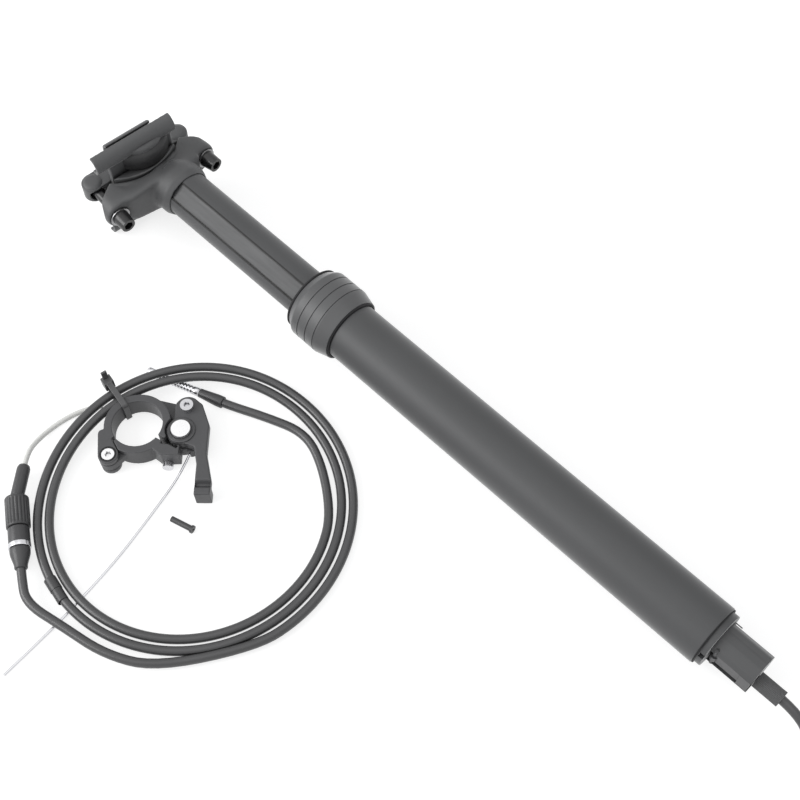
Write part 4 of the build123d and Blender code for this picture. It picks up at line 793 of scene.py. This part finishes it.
# The remote's round details: a raised boss round the lever's pivot and the dark well round the hinge screw
pivot_spot = (19.2, -2.6)
boss_foot = 9.4
boss_top = 10.1
boss_edge = 0.2
boss_bore_radius = 4.7
boss_radius = 6.3
boss_loop = (
    (boss_foot, boss_bore_radius),
    (boss_foot, boss_radius),
    (boss_top - boss_edge, boss_radius),
    (boss_top, boss_radius - boss_edge),
    (boss_top, boss_bore_radius + boss_edge),
    (boss_top - boss_edge, boss_bore_radius),
    (boss_foot, boss_bore_radius),
)
hinge_spot = (-11.0, -15.1)
well_foot = 10.6
well_height = 0.65
well_radii = (2.85, 3.7)
well_loop = band_loop(well_foot, well_height, well_radii)
upward = Matrix.Rotation(-pi / 2, 4, "Y")
for name, spot, loop, material, node in (
        ("pivot_boss", pivot_spot, boss_loop, remote_black, "thumb_lever"),
        ("hinge_well", hinge_spot, well_loop, seal_rubber, "remote_body")):
    upright = remote_place @ Matrix.Translation(Vector((*spot, 0)) * MM) @ upward
    ring_piece(name, round_rings(upright, loop, boss_steps), material, body_of[node], close_ends=False)


# Cheeks under the rail channels, in the clamp's own frame: a base in painted shadow and a smaller face on
# each side
clamp_tilt = 7.0
rocker_rise = 17.0
clamp_along, clamp_up = tilted_ways(clamp_tilt)
clamp_turn = Matrix((clamp_along, clamp_up, head_side)).transposed().to_4x4()
clamp_frame = Matrix.Translation(tilt_centre - clamp_up * rocker_rise * MM) @ clamp_turn
cheek_reach = 2.5
cheek_rise = 5.4
cheek_top = 0.4
cheek_top_share = 0.2
cheek_radius = 14.7
cheek_face_radius = 12.8
cheek_base = ((11.4, cheek_radius), (18.4, cheek_radius), (19.4, 14.2), (20.4, 11.4))
cheek_face = ((19.0, cheek_face_radius), (21.2, cheek_face_radius), (21.9, 12.3), (22.4, 11.0))


def cheek_ring(side_place, radius, steps=40):
    """The D-shaped outline of a cheek at a distance to the side."""
    top = cheek_top - (cheek_radius - radius) * cheek_top_share
    half_chord = (radius ** 2 - (top - cheek_rise) ** 2) ** 0.5
    first = atan2(top - cheek_rise, half_chord)
    last = atan2(top - cheek_rise, -half_chord)
    ring = []
    for step in range(steps + 1):
        angle = first - (first - last + 2 * pi) % (2 * pi) * step / steps
        spot = (cheek_reach + radius * cos(angle), cheek_rise + radius * sin(angle), side_place)
        ring.append(clamp_frame @ (Vector(spot) * MM))
    return ring


for side, hand in ((1, "right"), (-1, "left")):
    for profile, form, material in (
            (cheek_base, "cheek", cheek_shadow),
            (cheek_face, "cheek_face", forged_black)):
        rings = [cheek_ring(side * place, radius) for place, radius in profile]
        ring_piece(f"{hand}_{form}", rings, material, "saddle_clamp")

# Rounded caps over the ends of the barrel nuts
nut_reach = 23.5
nut_height = 5.7
bar_half_width = 4.2
nut_cap_sink = 0.6
nut_cap_fillet = 0.8
nut_cap_corners = ((0, closed_radius), (0, 4.7), (0.7, 4.6), (1.5, 3.2), (1.7, closed_radius))
nut_cap_profile = rounded_profile(nut_cap_corners, nut_cap_fillet)
for end, end_name in ((1, "front"), (-1, "rear")):
    for side, hand in ((1, "right"), (-1, "left")):
        place = Vector((end * nut_reach, nut_height, side * (bar_half_width - nut_cap_sink)))
        cap_frame = frame_along(clamp_frame @ (place * MM), head_side * side)
        rings = round_rings(cap_frame, nut_cap_profile, round_steps)
        ring_piece(f"nut_cap_{end_name}_{hand}", rings, forged_black, "saddle_clamp")


def spline_length(piece):
    """Length of a cord's smooth line, measured on its own spline."""
    bare = piece.data.copy()
    bare.bevel_depth = 0
    probe = bpy.data.objects.new("probe", bare)
    mesh = bpy.data.meshes.new_from_object(probe)
    ends = [[mesh.vertices[index].co for index in edge.vertices] for edge in mesh.edges]
    length = sum((first - second).length for first, second in ends)
    bpy.data.objects.remove(probe)
    bpy.data.curves.remove(bare)
    bpy.data.meshes.remove(mesh)
    return length


for piece in (cable_coil, tail_cable, liner, inner_wire):
    print(piece.name, "is", round(spline_length(piece), 4), "m long")

# Materials of the CAD nodes that stay
node_materials = {
    tube_black: ("outer_tube", "tail_cap"),
    collar_black: ("collar",),
    housing_black: ("actuator_housing",),
    stanchion_grey: ("stanchion",),
    seal_rubber: ("collar_o_ring", "bumper"),
    slide_polymer: ("upper_bushing", "lower_bushing", "piston"),
    key_brass: ("keys",),
    bare_aluminium: ("spring_body", "spring_gland"),
    bright_steel: ("snap_ring", "spring_rod", "valve_pin", "rod_nut", "closing_bolt", "pinch_bolt"),
    polished_steel: ("hinge_screw", "pivot_bolt"),
    washer_steel: ("front_washer", "rear_washer"),
    dull_steel: ("lock_wire",),
    bolt_black: ("front_saddle_bolt", "rear_saddle_bolt", "front_barrel_nut", "rear_barrel_nut"),
    oxide_steel: ("actuator_lever", "lever_pin"),
    barrel_grey: ("cable_barrel",),
    black_plastic: ("strand_sleeve", "end_sleeve"),
}
for material, names in node_materials.items():
    for name in names:
        for slot in nodes[name].material_slots:
            slot.material = material


# Floor and world. The camera and shiny pieces see them white; the object is lit by a plain floor and sky
pure_white = (1.0, 1.0, 1.0, 1.0)
sky_white = (0.98, 0.99, 1.0, 1.0)
floor_white = (0.94, 0.94, 0.94, 1.0)
shadow_grey = (0.42, 0.42, 0.42, 1.0)
floor_glow = 0.74
sky_strength = 0.55
floor_reach = 6.0


def background_rays(add):
    """A factor that is 1 for rays that show the background: camera, mirrored and refracted ones."""
    rays = add("ShaderNodeLightPath").outputs
    bounced = {0: rays["Is Glossy Ray"], 1: rays["Is Transmission Ray"]}
    mirrored = add("ShaderNodeMath", bounced, operation="MAXIMUM").outputs[0]
    return add("ShaderNodeMath", {0: rays["Is Camera Ray"], 1: mirrored}, operation="MAXIMUM").outputs[0]


def floor_surface():
    """A matt floor that glows where it is seen, so that it is white and keeps the object's shadow."""
    material = bpy.data.materials.new("floor_white")
    material.use_nodes = True
    add = node_maker(material.node_tree)
    matt = add("ShaderNodeBsdfDiffuse", {"Color": floor_white}).outputs[0]
    faint = add("ShaderNodeBsdfDiffuse", {"Color": shadow_grey}).outputs[0]
    glow = add("ShaderNodeEmission", {"Color": pure_white, "Strength": floor_glow}).outputs[0]
    seen = add("ShaderNodeAddShader", {0: faint, 1: glow}).outputs[0]
    mix = add("ShaderNodeMixShader", {"Fac": background_rays(add), 1: matt, 2: seen}).outputs[0]
    add("ShaderNodeOutputMaterial", {"Surface": mix})
    return material


def lay_floor():
    """A wide square floor under the part."""
    mesh = bpy.data.meshes.new("floor")
    corners = [(x * floor_reach, y * floor_reach, floor_z) for x, y in ((-1, -1), (1, -1), (1, 1), (-1, 1))]
    mesh.from_pydata(corners, [], [(0, 1, 2, 3)])
    mesh.materials.append(floor_surface())
    floor = bpy.data.objects.new("floor", mesh)
    bpy.context.collection.objects.link(floor)


def light_world():
    """An even sky that lights the object softly and is plain white where it is seen."""
    world = bpy.data.worlds.new("studio")
    bpy.context.scene.world = world
    world.use_nodes = True
    add = node_maker(world.node_tree)
    sky = add("ShaderNodeBackground", {"Color": sky_white, "Strength": sky_strength}).outputs[0]
    seen = add("ShaderNodeBackground", {"Color": pure_white, "Strength": 1.0}).outputs[0]
    mix = add("ShaderNodeMixShader", {"Fac": background_rays(add), 1: sky, 2: seen}).outputs[0]
    add("ShaderNodeOutputWorld", {"Surface": mix})


def area_lamp(name, spot, target, size, power):
    """A soft rectangular lamp that looks at a target."""
    data = bpy.data.lights.new(name, "AREA")
    data.shape = "RECTANGLE"
    data.size, data.size_y = size
    data.energy = power
    lamp = bpy.data.objects.new(name, data)
    bpy.context.collection.objects.link(lamp)
    lamp.location = spot
    lamp.rotation_euler = (Vector(target) - Vector(spot)).to_track_quat("-Z", "Y").to_euler()


lay_floor()
light_world()
area_lamp("front_lamp", spot=(-0.8, -0.95, 0.75), target=(-0.1, 0, 0), size=(1.1, 0.8), power=13.0)
area_lamp("top_lamp", spot=(0.0, -0.1, 1.5), target=(0, 0, 0), size=(1.6, 1.6), power=5.0)

bpy.context.scene.view_settings.view_transform = "Standard"
